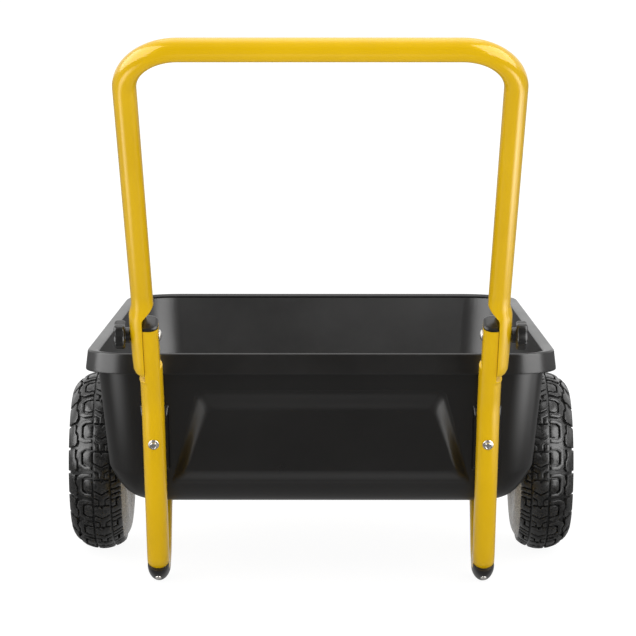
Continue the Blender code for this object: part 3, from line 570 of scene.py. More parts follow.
def plan_outline(half_width, rear, front, corner):
    """A rounded plan outline seen from above; half_width gives the half width at any y."""
    points = []
    for side, end, start in ((1, 1, 0), (-1, 1, 90), (-1, -1, 180), (1, -1, 270)):
        reach = corner + front_corner_more if end > 0 else corner
        for step in range(corner_steps + 1):
            angle = math.radians(start + 90 * step / corner_steps)
            y = (front - reach if end > 0 else rear + reach) + reach * math.sin(angle)
            points.append((side * (half_width(y) - reach) + reach * math.cos(angle), y))
    return points


def rim_half_width(y):
    """Half the rim's width, which narrows from the rear to the front."""
    share = (y - rear_face) / (front_face - rear_face)
    return tub_half_rear + share * (tub_half_front - tub_half_rear)


def rim_ring(height, inset):
    """The rim's outline at a height, inset from where the flared lip's outer face would be."""
    inset += lip_flare * (height - lip_bottom) / lip_drop
    corner = max(rim_corner - inset, least_corner)
    rear, front = rear_face + inset, front_face - inset
    outline = plan_outline(lambda y: rim_half_width(y) - inset, rear, front, corner)
    return [Vector((x, y, height)) for x, y in outline]


def body_ring(level, tilt, inset_side, inset_rear, inset_front, corner):
    """The outline in which the plane at height level + tilt * (y - axle's) meets the drafted walls."""

    def half_width(y):
        drop = lip_bottom - level - tilt * (y - axle.y)
        return rim_half_width(y) - lip_overhang - drop * side_draft - inset_side

    drop = lip_bottom - level + tilt * axle.y
    rear = (rear_face + lip_overhang + inset_rear + drop * rear_lean) / (1 + tilt * rear_lean)
    front = (front_face - lip_overhang - inset_front - drop * front_lean) / (1 - tilt * front_lean)
    outline = plan_outline(half_width, rear, front, corner)
    return [Vector((x, y, level + tilt * (y - axle.y))) for x, y in outline]


floor_under = axle.z + (rail_radius + seat_gap) / math.cos(floor_slope)


def wall_rings(offset):
    """The floor's fillet and the foot of the walls, moved inwards by offset."""
    wall_corner = rim_corner - lip_overhang - offset
    rings = []
    for step in range(fillet_steps + 1):
        angle = math.pi / 2 * step / fillet_steps
        left = 1 - math.sin(angle)
        side_left = left + fillet_flatness * (math.cos(angle) - left)
        rings.append(
            body_ring(
                floor_under + offset + fillet_rise * (1 - math.cos(angle)),
                floor_tilt,
                offset + side_fillet * side_left,
                offset / math.cos(lower_lean) + end_fillet * left,
                offset / math.cos(front_angle) + end_fillet * left,
                floor_corner_round + (wall_corner - floor_corner_round) * step / (2 * fillet_steps),
            )
        )
    return rings


def wall_ring(height, offset):
    """The walls' level outline at a height, moved inwards by offset."""
    rear_inset = offset / math.cos(lower_lean)
    front_inset = offset / math.cos(front_angle)
    return body_ring(height, 0, offset, rear_inset, front_inset, rim_corner - lip_overhang - offset)


# Heights and insets up the wall, out under the rim, down inside the lip, and round its lower edge
under_rim = (
    (rim_height - tub_wall, lip_overhang - 0.004),
    (rim_height - tub_wall, tub_wall + 0.004),
    (rim_height - tub_wall - 0.002, tub_wall + 0.001),
    (rim_height - 0.010, tub_wall),
    (lip_bottom + 0.001, tub_wall),
    (lip_bottom, tub_wall - 0.0008),
    (lip_bottom, 0.0010),
    (lip_bottom + 0.0008, 0.0002),
    (lip_bottom + 0.003, 0),
)
quarter = [math.pi / 2 * step / round_steps for step in range(round_steps + 1)]
outside = wall_rings(0) + [wall_ring(lip_bottom - 0.010, 0), wall_ring(rim_height - tub_wall - 0.004, 0)]
outside += [rim_ring(height, inset) for height, inset in under_rim]
for angle in quarter:
    height = rim_height - rim_edge_round * (1 - math.sin(angle))
    outside.append(rim_ring(height, rim_edge_round * (1 - math.cos(angle))))
outside += [rim_ring(rim_height, 0.009), rim_ring(rim_height, 0.016)]

mouth_round = 0.004
above_mouth = Vector((0, 0, 0.01))
inside = wall_rings(tub_wall) + [wall_ring(lip_bottom, tub_wall)]
for angle in quarter:
    height = rim_height - mouth_round * (1 - math.sin(angle))
    inside.append(wall_ring(height, tub_wall - mouth_round * (1 - math.cos(angle))))
inside.append([point + above_mouth for point in inside[-1]])


def join_shapes(target, other, operation):
    """Cuts or joins other into target for good, and removes other."""
    modifier = target.modifiers.new(operation, "BOOLEAN")
    modifier.operation = operation
    modifier.solver = "EXACT"
    modifier.object = other
    bpy.context.view_layer.update()
    evaluated = target.evaluated_get(bpy.context.evaluated_depsgraph_get())
    mesh = bpy.data.meshes.new_from_object(evaluated)
    target.modifiers.clear()
    old = target.data
    target.data = mesh
    bpy.data.meshes.remove(old)
    bpy.data.objects.remove(other, do_unlink=True)


wall_out = Vector((0, -math.cos(lower_lean), -math.sin(lower_lean)))
wall_top = Vector((0, rear_face + lip_overhang, lip_bottom))
pad_rise = (rail_bend_point - wall_top).dot(wall_out) - rail_radius - seat_gap
form_root = 0.002
form_foot = 0.0002
straight_share = 0.35
corner_turns = 6
edge_parts = 10


def pressed_out(centre, foot, face, rise, corner, steps):
    """A raised form on the rear wall: a rounded outline that goes from foot to face in a soft slope.

    Its first ring lies form_root deep in the wall and its foot stands form_foot above it, so that the two
    cross cleanly where they are joined.
    """
    outlines = []
    for step in range(-1, steps + 1):
        share = step / steps
        level = max(form_foot, rise * (straight_share * share + (1 - straight_share) * ease(share)))
        if step < 0:
            level = -form_root
            share = -form_root / rise
        corners = [Vector(a) + (Vector(b) - Vector(a)) * share for a, b in zip(foot, face)]
        outline = []
        for index, point in enumerate(corners):
            before = (corners[index - 1] - point).normalized() * corner
            after = (corners[(index + 1) % 4] - point).normalized() * corner
            for turn in range(corner_turns + 1):
                part = turn / corner_turns
                outline.append(point + before * (1 - part) ** 2 + after * part ** 2)
            following = corners[(index + 1) % 4]
            start, stop = point + after, following - after
            outline += [start + (stop - start) * part / edge_parts for part in range(1, edge_parts)]
        outlines.append([centre + AXIS_X * x + lower_down * s + wall_out * level for x, s in outline])
    return object_of("form", sweep(outlines))


def trapezoid(top, bottom, top_half, bottom_half):
    """Four corners as (x, distance down the wall)."""
    return [(-top_half, top), (top_half, top), (bottom_half, bottom), (-bottom_half, bottom)]


panel_rise = 0.009
panel_foot = trapezoid(0.029, 0.180, 0.347 / 2, 0.423 / 2)
panel_face = trapezoid(0.058, 0.154, 0.310 / 2, 0.379 / 2)
panel_corner = 0.010
panel_steps = 9
pad_top = 0.053
pad_bottom = 0.160
pad_slant = 0.010
pad_draft = 0.002
pad_half = 0.020
pad_corner = 0.003
pad_steps = 4
well_half_spacing = 0.279
well_radius = axle.z + 0.017
well_round = 0.010
well_sides = 96
well_past_wall = 0.02


def tub_solid(name, rings, offset):
    """A solid through the rings, with the panel and pads raised on it and both wheel recesses cut away.

    All of them are moved inwards by offset, so that the inner solid leaves an even wall.
    """
    solid = object_of(name, sweep(rings))
    place = wall_top - wall_out * offset
    panel = pressed_out(place, panel_foot, panel_face, panel_rise, panel_corner, panel_steps)
    join_shapes(solid, panel, "UNION")
    foot_half = pad_half - offset
    face_half = foot_half - pad_draft
    for side in (-1, 1):
        pad_foot = trapezoid(pad_top, pad_bottom, foot_half, foot_half)
        pad_face = trapezoid(pad_top + pad_slant, pad_bottom - pad_slant, face_half, face_half)
        pad_place = place + AXIS_X * rail_x * side
        pad = pressed_out(pad_place, pad_foot, pad_face, pad_rise, pad_corner, pad_steps)
        join_shapes(solid, pad, "UNION")
    depth = tub_half_rear - well_half_spacing + offset + well_past_wall
    inner_x = well_half_spacing - offset
    for side in (-1, 1):
        well = bmesh.new()
        centre = axle + AXIS_X * side * (inner_x + depth / 2)
        bmesh.ops.create_cone(
            well,
            cap_ends=True,
            segments=well_sides,
            radius1=well_radius + offset,
            radius2=well_radius + offset,
            depth=depth,
            matrix=Matrix.Translation(centre) @ Matrix.Rotation(math.pi / 2, 4, "Y"),
        )
        inner = {vert for vert in well.verts if abs(abs(vert.co.x) - inner_x) < 1e-5}
        rim = [edge for edge in well.edges if inner.issuperset(edge.verts)]
        bmesh.ops.bevel(
            well,
            geom=rim,
            offset=well_round + offset,
            segments=6,
            profile=0.5,
            affect="EDGES",
            material=-1,
        )
        join_shapes(solid, object_of("well", well), "DIFFERENCE")
    return solid


tub_crease = math.radians(16)
tub = tub_solid("tub_shell", outside, 0)
join_shapes(tub, tub_solid("tub_hollow", inside, tub_wall), "DIFFERENCE")
tub.data.shade_smooth()
tub.data.set_sharp_from_angle(angle=tub_crease)
weighted = tub.modifiers.new("Weighted", "WEIGHTED_NORMAL")
weighted.keep_sharp = True
weighted.weight = 100
fit(tub, black_plastic, "frame", "black_plastic", "tub")

# Wheels' tyres
# Pneumatic tyres of black rubber. Their inner walls are painted pale grey with bright specks, partly dried
# dust and partly a painted glare of light. The carcass is a round section that swells from the beads, and
# the tread is moulded in blocks across its crown.
pale_radius = 0.117
pale_from = 0.300
tyre_rubber, tree, output = new_material("tyre_rubber")
cured = use_group(tree, grain, Scale=1100.0, Blotches=22.0)
dust = use_group(tree, dusty, Amount=0.07, Patches=90.0)["Mask"]
edge_wear_and_glint = use_group(tree, edge_wear_and_glint_group, Start=0.515, Full=0.57, Breakup=300.0)["Mask"]
place = add_node(tree, "TexCoord").outputs["Object"]
off_axle = add_node(tree, "VectorMath", place, tuple(axle), options={"operation": "SUBTRACT"}).outputs[0]
off_axle = add_node(tree, "VectorMath", off_axle, (0, 1, 1), options={"operation": "MULTIPLY"}).outputs[0]
away = add_node(tree, "VectorMath", off_axle, options={"operation": "LENGTH"}).outputs["Value"]
inner_wall_dust_and_glare = ranged(tree, away, pale_radius + 0.003, pale_radius)
off_centre = maths(tree, "ABSOLUTE", add_node(tree, "SeparateXYZ", place).outputs["X"])
inner_wall_dust_and_glare = maths(tree, "MULTIPLY", inner_wall_dust_and_glare, ranged(tree, off_centre, pale_from + 0.004, pale_from))
dust_and_glare_specks = ranged(tree, spots(tree, 420.0, 4.0, 0.7), 0.50, 0.64)
colour = blended(tree, cured["Mottle"], (0.0055, 0.0054, 0.0052), (0.0105, 0.0102, 0.0098))
# Painted glare: the inner walls are painted pale grey with bright specks, standing for light glancing off
# them as well as for dried dust.
colour = blended(tree, inner_wall_dust_and_glare, colour, (0.40, 0.385, 0.36))
colour = blended(tree, maths(tree, "MULTIPLY", inner_wall_dust_and_glare, dust_and_glare_specks), colour, (0.80, 0.78, 0.74))
# Painted highlight: the blocks' pointed edges are painted a lighter grey, a glint of light on them.
colour = blended(tree, edge_wear_and_glint, colour, (0.045, 0.044, 0.043))
colour = blended(tree, dust, colour, (0.12, 0.113, 0.102))
roughness = ranged(tree, cured["Mottle"], 0.0, 1.0, 0.20, 0.31)
surface(tree, output, colour, roughness, cured["Height"], 0.00025, 0.5)

tyre_low, tyre_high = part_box("right_tyre")
wheel_inset = 0.0058
wheel_x = (tyre_low.x + tyre_high.x) / 2 - wheel_inset
tyre_radius = axle.z
tyre_half = 0.0452
tread_depth = 0.0042
carcass_half = tyre_half - 0.0026
section_radius = 0.095
flange_radius = 0.0591
bead_radius = 0.0511
bead_half = 0.0285
bead_width = 0.009
tyre_wall = 0.0045
pitches = 20
tread_turn = math.radians(80)
crown_height = tyre_radius - tread_depth - section_radius
tyre_steps = 120
block_edge = 0.0055
tread_shift = 0.06
block_round = 0.0013
block_root = 0.0006
crown_steps = 36
side_steps = 10
lining_steps = 6
lining_start = math.radians(-50)
lining_turn = math.radians(120)

# The blocks of one pitch of the tread, from its outer edge to its inner one. A block's corners are given as
# shares of the tread's turn and of the pitch.
tread_blocks = (
    (
        (-0.98, 0.05), (-0.66, 0.05), (-0.60, 0.18), (-0.60, 0.44), (-0.66, 0.56), (-0.66, 0.93),
        (-0.98, 0.93),
    ),
    (
        (-0.20, 1.00), (-0.44, 1.00), (-0.56, 0.88), (-0.61, 0.64), (-0.54, 0.48), (-0.54, 0.26),
        (-0.42, 0.14), (-0.20, 0.14), (-0.20, 0.27), (-0.36, 0.27), (-0.44, 0.36), (-0.44, 0.78),
        (-0.36, 0.87), (-0.20, 0.87),
    ),
    ((-0.39, 0.42), (-0.32, 0.34), (-0.19, 0.34), (-0.19, 0.80), (-0.32, 0.80), (-0.39, 0.72)),
    (
        (-0.14, 0.42), (0.04, 0.28), (0.22, 0.42), (0.22, 0.76), (0.08, 0.76), (0.04, 0.66), (0.00, 0.76),
        (-0.14, 0.76),
    ),
    (
        (-0.14, 0.35), (0.04, 0.21), (0.22, 0.35), (0.22, 0.15), (0.09, 0.05), (0.09, -0.16),
        (-0.01, -0.16), (-0.01, 0.05), (-0.14, 0.15),
    ),
    ((-0.14, 0.08), (-0.05, 0.01), (-0.05, -0.16), (-0.14, -0.16)),
    ((0.22, 0.08), (0.13, 0.01), (0.13, -0.16), (0.22, -0.16)),
    ((0.28, 0.06), (0.55, 0.12), (0.55, 0.25), (0.28, 0.19)),
    ((0.28, 0.26), (0.55, 0.32), (0.55, 0.45), (0.28, 0.39)),
    ((0.28, 0.46), (0.55, 0.52), (0.55, 1.04), (0.43, 1.00), (0.43, 0.72), (0.28, 0.66)),
    ((0.28, 0.74), (0.37, 0.77), (0.37, 1.00), (0.28, 0.98)),
)


def carcass_point(turn, around, rise=0.0):
    """A place on the carcass: turn goes over its section from the crown, around goes round the wheel."""
    across = (carcass_half + rise) * math.sin(turn)
    radius = section_radius + (crown_height + rise) * math.cos(turn)
    return Vector((across, radius * math.sin(around), -radius * math.cos(around)))


def tyre_outline():
    """The tyre's section as (across, radius): over the crown from side to side, then round the rest."""
    over = [carcass_point(math.pi * (step / crown_steps - 0.5), 0) for step in range(crown_steps + 1)]
    crown = [(point.x, -point.z) for point in over]
    half = []
    for step in range(1, side_steps + 1):
        angle = math.pi / 2 * step / side_steps
        across = bead_half + (carcass_half - bead_half) * math.cos(angle)
        half.append((across, section_radius - (section_radius - flange_radius) * math.sin(angle)))
    half.append((bead_half - bead_width * 0.3, bead_radius + 0.0006))
    half.append((bead_half - bead_width * 0.6, bead_radius))
    half.append((bead_half - bead_width, bead_radius + 0.001))
    for step in range(lining_steps + 1):
        angle = lining_start + lining_turn * step / lining_steps
        across = (carcass_half - tyre_wall) * math.cos(angle)
        half.append((across, section_radius + (crown_height - tyre_wall) * math.sin(angle)))
    return crown + half + [(-across, radius) for across, radius in reversed(half)]


def block_outline(corners, pitch):
    """A block's outline just under the carcass, with points between corners that are far apart."""
    points = []
    for (u, v), (next_u, next_v) in zip(corners, corners[1:] + corners[:1]):
        start = carcass_point(u * tread_turn, v * 2 * math.pi / pitches)
        stop = carcass_point(next_u * tread_turn, next_v * 2 * math.pi / pitches)
        parts = math.ceil((stop - start).length / block_edge)
        for part in range(parts):
            share = part / parts
            turn = (u + (next_u - u) * share + tread_shift) * tread_turn
            around = -(pitch + v + (next_v - v) * share) * 2 * math.pi / pitches
            points.append(carcass_point(turn, around, -block_root))
    return points


def raise_block(verts, rise):
    """Moves vertices away from the carcass by rise."""
    for vert in verts:
        radial = Vector((0, vert.co.y, vert.co.z))
        height = radial.length - section_radius
        up = radial.normalized() * (height / crown_height ** 2) + AXIS_X * (vert.co.x / carcass_half ** 2)
        vert.co += up.normalized() * rise


def tyre(name, side, node, body):
    """A tyre; side mirrors it, so that the blocks' outer edge stays outside."""
    section = tyre_outline()
    rings = []
    for step in range(tyre_steps):
        around = 2 * math.pi * step / tyre_steps
        rings.append([Vector((x, r * math.sin(around), -r * math.cos(around))) for x, r in section])
    bm = sweep(rings, joined=True)
    feet = []
    for pitch in range(pitches):
        for corners in tread_blocks:
            feet.append(bm.faces.new([bm.verts.new(point) for point in block_outline(corners, pitch)]))
    raised = bmesh.ops.extrude_face_region(bm, geom=feet)["geom"]
    tops = [item for item in raised if isinstance(item, bmesh.types.BMFace)]
    raise_block({vert for face in tops for vert in face.verts}, tread_depth + block_root - block_round / 2)
    bmesh.ops.inset_individual(bm, faces=tops, thickness=block_round, use_even_offset=True)
    raise_block({vert for face in tops for vert in face.verts}, block_round / 2)
    place = Matrix.Translation(axle + AXIS_X * side * wheel_x) @ Matrix.Diagonal((-side, 1, 1, 1))
    bmesh.ops.transform(bm, matrix=place, verts=bm.verts)
    bmesh.ops.recalc_face_normals(bm, faces=bm.faces)
    return fit(object_of(name, bm, 35), tyre_rubber, body, "tyre_rubber", node)


for side, hand in sides:
    tyre(f"{hand}_block_tyre", side, f"{hand}_tyre", f"{hand}_wheel")

# Rims, hubs and axle
# Each wheel is two pressed rim halves, painted silver and bolted together on a hub tube with a sealed
# bearing at each end. One bright axle carries both, with a spacer, a washer and a lock nut on either side.
zinc_plate, tree, output = new_material("bright_zinc_plate")
plated = use_group(tree, grain, Scale=700.0, Blotches=120.0)
dust = use_group(tree, dusty, Amount=0.12, Patches=200.0)["Mask"]
colour = blended(tree, plated["Mottle"], (0.62, 0.60, 0.56), (0.78, 0.76, 0.73))
colour = blended(tree, dust, colour, (0.30, 0.27, 0.22))
roughness = ranged(tree, plated["Mottle"], 0.0, 1.0, 0.20, 0.38)
surface(tree, output, colour, roughness, plated["Height"], 0.00005, 0.3, Metallic=1.0)

rim_paint, tree, output = new_material("silver_rim_paint")
sprayed = use_group(tree, grain, Scale=600.0, Blotches=16.0)
dust = use_group(tree, dusty, Amount=0.22, Patches=50.0)["Mask"]
edge_wear_and_glint = use_group(tree, edge_wear_and_glint_group, Start=0.54, Full=0.62, Breakup=200.0)["Mask"]
colour = blended(tree, sprayed["Mottle"], (0.50, 0.50, 0.49), (0.60, 0.60, 0.58))
colour = blended(tree, edge_wear_and_glint, colour, (0.30, 0.30, 0.30))
colour = blended(tree, dust, colour, (0.22, 0.20, 0.17))
roughness = ranged(tree, sprayed["Mottle"], 0.0, 1.0, 0.30, 0.42)
surface(tree, output, colour, roughness, sprayed["Height"], 0.00010, 0.4)

fastener_sides = 48


def turned_ring(place, axis, height, radius, flats=None):
    """A round outline about axis at a height over place; flats cuts it to a hexagon of that half width."""
    first = axis.cross(AXIS_X if abs(axis.x) < 0.5 else Vector((0, 0, 1))).normalized()
    second = axis.cross(first)
    points = []
    for step in range(fastener_sides):
        angle = 2 * math.pi * step / fastener_sides
        reach = radius
        if flats:
            reach = min(radius, flats / math.cos((angle + math.pi / 6) % (math.pi / 3) - math.pi / 6))
        across = first * (reach * math.cos(angle)) + second * (reach * math.sin(angle))
        points.append(place + axis * height + across)
    return points


def turned(name, place, axis, profile, material, body, slot, *nodes, hollow=False, sharp=30):
    """A turned piece: each item of profile is a height, a radius and, for a hexagon, the half width."""
    rings = [turned_ring(place, axis, *item) for item in profile]
    return fit(object_of(name, sweep(rings, joined=hollow), sharp), material, body, slot, *nodes)


def dome(start, radius, rise, steps=6):
    """A domed head's profile from its edge to nearly its middle."""
    turns = [math.pi / 2 * step / steps for step in range(steps)]
    profile = [(start + rise * math.sin(turn), radius * math.cos(turn)) for turn in turns]
    return profile + [(start + rise, radius * 0.12)]


def shank(length, radius):
    """A bolt's shank up to its head: a chamfered end and then the plain length."""
    return [(-length, radius * 0.78), (-length + radius * 0.25, radius), (0, radius)]


bore_chamfer = 0.0006


def hex_nut(name, place, axis, width, height, bore, node):
    """A hexagon nut with chamfered corners and bore, standing on place."""
    flats = width / 2
    corner = width / math.sqrt(3)
    profile = [
        (bore_chamfer, bore),
        (0, bore + bore_chamfer),
        (0, flats - 0.0002),
        (corner * 0.10, corner, flats),
        (height - corner * 0.10, corner, flats),
        (height, flats - 0.0002),
        (height, bore + bore_chamfer),
        (height - bore_chamfer, bore),
    ]
    turned(name, place, axis, profile, zinc_plate, "frame", "zinc_plate", node, hollow=True)


axle_radius = 0.008
axle_chamfer = 0.0014
axle_past_nut = 0.0022
hub_half = 0.038
hub_radius = 0.0205
hub_wall = 0.0025
hub_edge = 0.0006
bearing_width = 0.011
seal_depth = 0.0008
spacer_radius = 0.0125
spacer_bore = 0.0086
spacer_edge = 0.0004
washer_radius = 0.0150
washer_bore = 0.0083
washer_thickness = 0.002
washer_edge = 0.0006
lock_nut_width = 0.024
lock_nut_height = 0.006
lock_nut_bore = 0.0082
spacer_start = rail_x + rail_radius + seat_gap
spacer_end = wheel_x - hub_half - seat_gap
washer_seat = wheel_x + hub_half + seat_gap
lock_nut_seat = washer_seat + washer_thickness + seat_gap
axle_half = lock_nut_seat + lock_nut_height + axle_past_nut
rim_sheet = 0.002
web_middle = 0.00115
web_step = 0.00435
web_edge = 0.0385
shoulder = 0.004
shoulder_radius = 0.0498
rim_grip = 0.00245
rim_bolt_circle = 0.031
rim_bolt_radius = 0.003
bolt_head_corner = 0.0057
bolt_head_flats = 0.0050
valve_circle = 0.0435


def rim_profile():
    """The middle of a rim half's sheet as (distance from the wheel's middle plane, radius)."""
    points = [(web_middle, hub_radius + 0.0002), (web_middle, web_edge)]
    for step in range(6):
        angle = math.pi / 2 * step / 5
        points.append((web_middle + web_step * (1 - math.cos(angle)), web_edge + 0.0035 * math.sin(angle)))
    points.append((0.009, 0.0440))
    for step in range(6):
        angle = math.pi / 2 * step / 5
        rise = shoulder * math.sin(angle)
        points.append((0.009 + rise, shoulder_radius - shoulder + rise))
    points += [(0.0255, shoulder_radius), (0.0285, 0.0505), (0.0302, 0.0530), (0.0310, 0.0560)]
    return points + [(0.0322, 0.0584), (0.0340, 0.0592), (0.0352, 0.0584)]


def sheet_outlines(points, thickness):
    """Both faces of a sheet along its middle line, as one closed line of (height, radius)."""
    front, back = [], []
    for index, point in enumerate(points):
        before = Vector(points[max(index - 1, 0)])
        after = Vector(points[min(index + 1, len(points) - 1)])
        run = (after - before).normalized() * (thickness / 2)
        front.append((point[0] - run.y, point[1] + run.x))
        back.append((point[0] + run.y, point[1] - run.x))
    return front + back[::-1]


hub_bore = hub_radius - hub_wall
hub_profile = [
    (-hub_half + hub_edge, hub_radius),
    (hub_half - hub_edge, hub_radius),
    (hub_half, hub_radius - hub_edge),
    (hub_half, hub_bore),
    (-hub_half, hub_bore),
    (-hub_half, hub_radius - hub_edge),
]
outer_race = hub_bore - seat_gap
bearing_profile = [
    (0, axle_radius + seat_gap),
    (0, outer_race),
    (bearing_width - 0.0004, outer_race),
    (bearing_width, outer_race - 0.0005),
    (bearing_width, outer_race - 0.0020),
    (bearing_width - seal_depth, outer_race - 0.0024),
    (bearing_width - seal_depth, axle_radius + 0.0030),
    (bearing_width, axle_radius + 0.0026),
    (bearing_width, axle_radius + 0.0006),
]
rim_bolt_head = [
    (rim_grip, bolt_head_flats),
    (rim_grip + 0.0004, bolt_head_corner, bolt_head_flats),
    (rim_grip + 0.0034, bolt_head_corner, bolt_head_flats),
    (rim_grip + 0.0040, bolt_head_flats - 0.0002),
]
rim_bolt_profile = [(-height, *sizes) for height, *sizes in reversed(rim_bolt_head)]
rim_bolt_profile += [(-rim_grip, rim_bolt_radius), (rim_grip, rim_bolt_radius)] + rim_bolt_head
valve_profile = [
    (0, 0.0055),
    (0.0008, 0.0060),
    (0.0016, 0.0052),
    (0.0030, 0.0042),
    (0.0160, 0.0036),
    (0.0180, 0.0026),
    (0.0240, 0.0024),
]
valve_cap_profile = [(0, 0.0034), (0.0006, 0.0040), (0.0080, 0.0038), (0.0094, 0.0032), (0.0098, 0.0020)]
spacer_profile = [
    (spacer_start + spacer_edge, spacer_radius),
    (spacer_end - spacer_edge, spacer_radius),
    (spacer_end, spacer_radius - spacer_edge),
    (spacer_end, spacer_bore),
    (spacer_start, spacer_bore),
    (spacer_start, spacer_radius - spacer_edge),
]
washer_profile = [
    (0, washer_bore),
    (0, washer_radius),
    (washer_thickness - washer_edge, washer_radius),
    (washer_thickness, washer_radius - washer_edge),
    (washer_thickness, washer_bore),
]

for side, hand in sides:
    centre = axle + AXIS_X * side * wheel_x
    out = AXIS_X * side
    body = f"{hand}_wheel"
    turned(
        f"{hand}_hub", centre, out, hub_profile,
        zinc_plate, body, "zinc_plate", f"{hand}_hub_tube", hollow=True,
    )
    for end, label in ((1, "outer"), (-1, "inner")):
        turned(
            f"{hand}_{label}_sealed_bearing", centre + out * end * (hub_half - bearing_width), out * end,
            bearing_profile, zinc_plate, body, "zinc_plate", f"{hand}_{label}_bearing", hollow=True,
        )
        turned(
            f"{hand}_{label}_rim_half", centre, out * end, sheet_outlines(rim_profile(), rim_sheet),
            rim_paint, body, "rim_paint", f"{hand}_{label}_rim", hollow=True, sharp=40,
        )
    for number in range(4):
        angle = math.pi / 2 * number
        place = centre + Vector((0, math.sin(angle), math.cos(angle))) * rim_bolt_circle
        turned(
            f"{hand}_rim_bolt_and_nut_{number + 1}", place, out, rim_bolt_profile,
            zinc_plate, body, "zinc_plate", f"{hand}_rim_bolt_{number + 1}",
        )
    valve = centre + Vector((0, 1, 1)).normalized() * valve_circle
    turned(
        f"{hand}_rubber_valve", valve + out * 0.0053, out, valve_profile,
        tyre_rubber, body, "tyre_rubber", f"{hand}_valve_stem",
    )
    turned(
        f"{hand}_ribbed_valve_cap", valve + out * 0.0225, out, valve_cap_profile,
        black_plastic, body, "black_plastic", f"{hand}_valve_cap",
    )
    turned(
        f"{hand}_spacer_tube", axle, out, spacer_profile,
        zinc_plate, "frame", "zinc_plate", f"{hand}_axle_spacer", hollow=True,
    )
    turned(
        f"{hand}_flat_washer", axle + out * washer_seat, out, washer_profile,
        zinc_plate, "frame", "zinc_plate", f"{hand}_axle_washer", hollow=True,
    )
    hex_nut(
        f"{hand}_lock_nut", axle + out * lock_nut_seat, out,
        lock_nut_width, lock_nut_height, lock_nut_bore, f"{hand}_axle_nut",
    )

axle_end = [(axle_half - axle_chamfer, axle_radius), (axle_half, axle_radius - axle_chamfer)]
axle_profile = [(-height, radius) for height, radius in reversed(axle_end)] + axle_end
turned("axle_rod", axle, AXIS_X, axle_profile, zinc_plate, "frame", "zinc_plate", "axle")

# Bolts
# Bright steel bolts through the rails: a flanged one into the tub's rear wall, two round-headed ones
# through its floor, one across the joint with the handle, and a screw that holds each foot pad.
bolt_radius = 0.003
nut_width = 0.011
nut_height = 0.006
nut_bore = 0.0031
coach_head = 0.0090
coach_rise = 0.0033
joint_bolt_radius = 0.004
joint_head = 0.0075
joint_rise = 0.0030
pad_screw_length = 0.014
pad_screw_radius = 0.002
pad_screw_head = 0.0045
pad_screw_rise = 0.0023
joint_bolt_in_grip = 0.006
knob_boss_length = 0.0065
knob_seat = 0.26085
strap_thickness = 0.003
rear_bolt_height = 0.222
rear_floor_bolt_past_bend = 0.030
front_floor_bolt_past_axle = 0.225
wall_stack = 2 * rail_radius + seat_gap + tub_wall
rear_bolt_drop = (rail_bend_height - rear_bolt_height) / math.cos(lower_lean)
rear_bolt_point = rail_bend_point + lower_down * rear_bolt_drop
floor_corner_reach = floor_bend_radius * math.tan(foot_up.angle(floor_run) / 2)
rear_floor_point = floor_corner + floor_run * (floor_corner_reach + rear_floor_bolt_past_bend)
front_floor_point = axle + floor_run * front_floor_bolt_past_axle
floor_points = (
    ("rear", rear_floor_point, seat_gap),
    ("front", front_floor_point, strap_thickness + 2 * seat_gap),
)
floor_top = rail_radius + seat_gap + tub_wall * math.cos(floor_slope) + seat_gap
screw_angle = math.radians(34)
screw_out = Vector((0, -math.sin(screw_angle), -math.cos(screw_angle)))
screw_seat = foot_bend_radius + rail_radius + sole_thickness + sole_flat + seat_gap
bolt_seat = rail_x - inner_press - seat_gap
flanged_head = [
    (0, 0.0075),
    (0.0006, 0.0076),
    (0.0012, 0.0070),
    (0.0017, 0.0058),
    (0.0018, bolt_head_corner, bolt_head_flats),
    (0.0048, bolt_head_corner, bolt_head_flats),
    (0.0054, 0.0049),
    (0.0054, 0.0036),
    (0.0050, 0.0030),
]

for side, hand in sides:
    across = AXIS_X * side * rail_x
    seat = rear_bolt_point + across + wall_out * (rail_radius + seat_gap)
    turned(
        f"{hand}_flanged_bolt", seat, wall_out,
        shank(wall_stack + 2 * seat_gap + nut_height, bolt_radius) + flanged_head,
        zinc_plate, "frame", "zinc_plate", f"{hand}_rear_bolt",
    )
    inner = seat - wall_out * (wall_stack + 2 * seat_gap)
    hex_nut(f"{hand}_wall_nut", inner, -wall_out, nut_width, nut_height, nut_bore, f"{hand}_rear_nut")
    for label, point, nut_gap in floor_points:
        nut_seat = rail_radius + nut_gap
        coach_profile = shank(floor_top + nut_seat + nut_height, bolt_radius)
        coach_profile += [(0, coach_head - 0.0002), (0.0005, coach_head)]
        coach_profile += dome(0.0007, coach_head, coach_rise)
        turned(
            f"{hand}_{label}_coach_bolt", point + across + floor_normal * floor_top, floor_normal,
            coach_profile, zinc_plate, "frame", "zinc_plate", f"{hand}_{label}_floor_bolt",
        )
        under = point + across - floor_normal * nut_seat
        node = f"{hand}_{label}_floor_nut"
        hex_nut(f"{hand}_{label}_under_nut", under, -floor_normal, nut_width, nut_height, nut_bore, node)
    screw_profile = shank(pad_screw_length, pad_screw_radius)
    screw_profile += [(0, pad_screw_head - 0.0001), (0.0003, pad_screw_head)]
    screw_profile += dome(0.0004, pad_screw_head, pad_screw_rise)
    turned(
        f"{hand}_pad_screw", foot_centre + across + screw_out * screw_seat, screw_out, screw_profile,
        zinc_plate, "frame", "zinc_plate", f"{hand}_foot_screw",
    )
    joint = Vector((side * bolt_seat, pivot.y, pivot.z))
    joint_length = knob_seat - bolt_seat + knob_boss_length + joint_bolt_in_grip
    joint_profile = shank(joint_length, joint_bolt_radius)
    joint_profile += [(0, joint_head - 0.0002), (0.0004, joint_head)]
    joint_profile += dome(0.0005, joint_head, joint_rise)
    turned(
        f"{hand}_joint_bolt", joint, -AXIS_X * side, joint_profile,
        zinc_plate, "frame", "zinc_plate", f"{hand}_knob_bolt",
    )

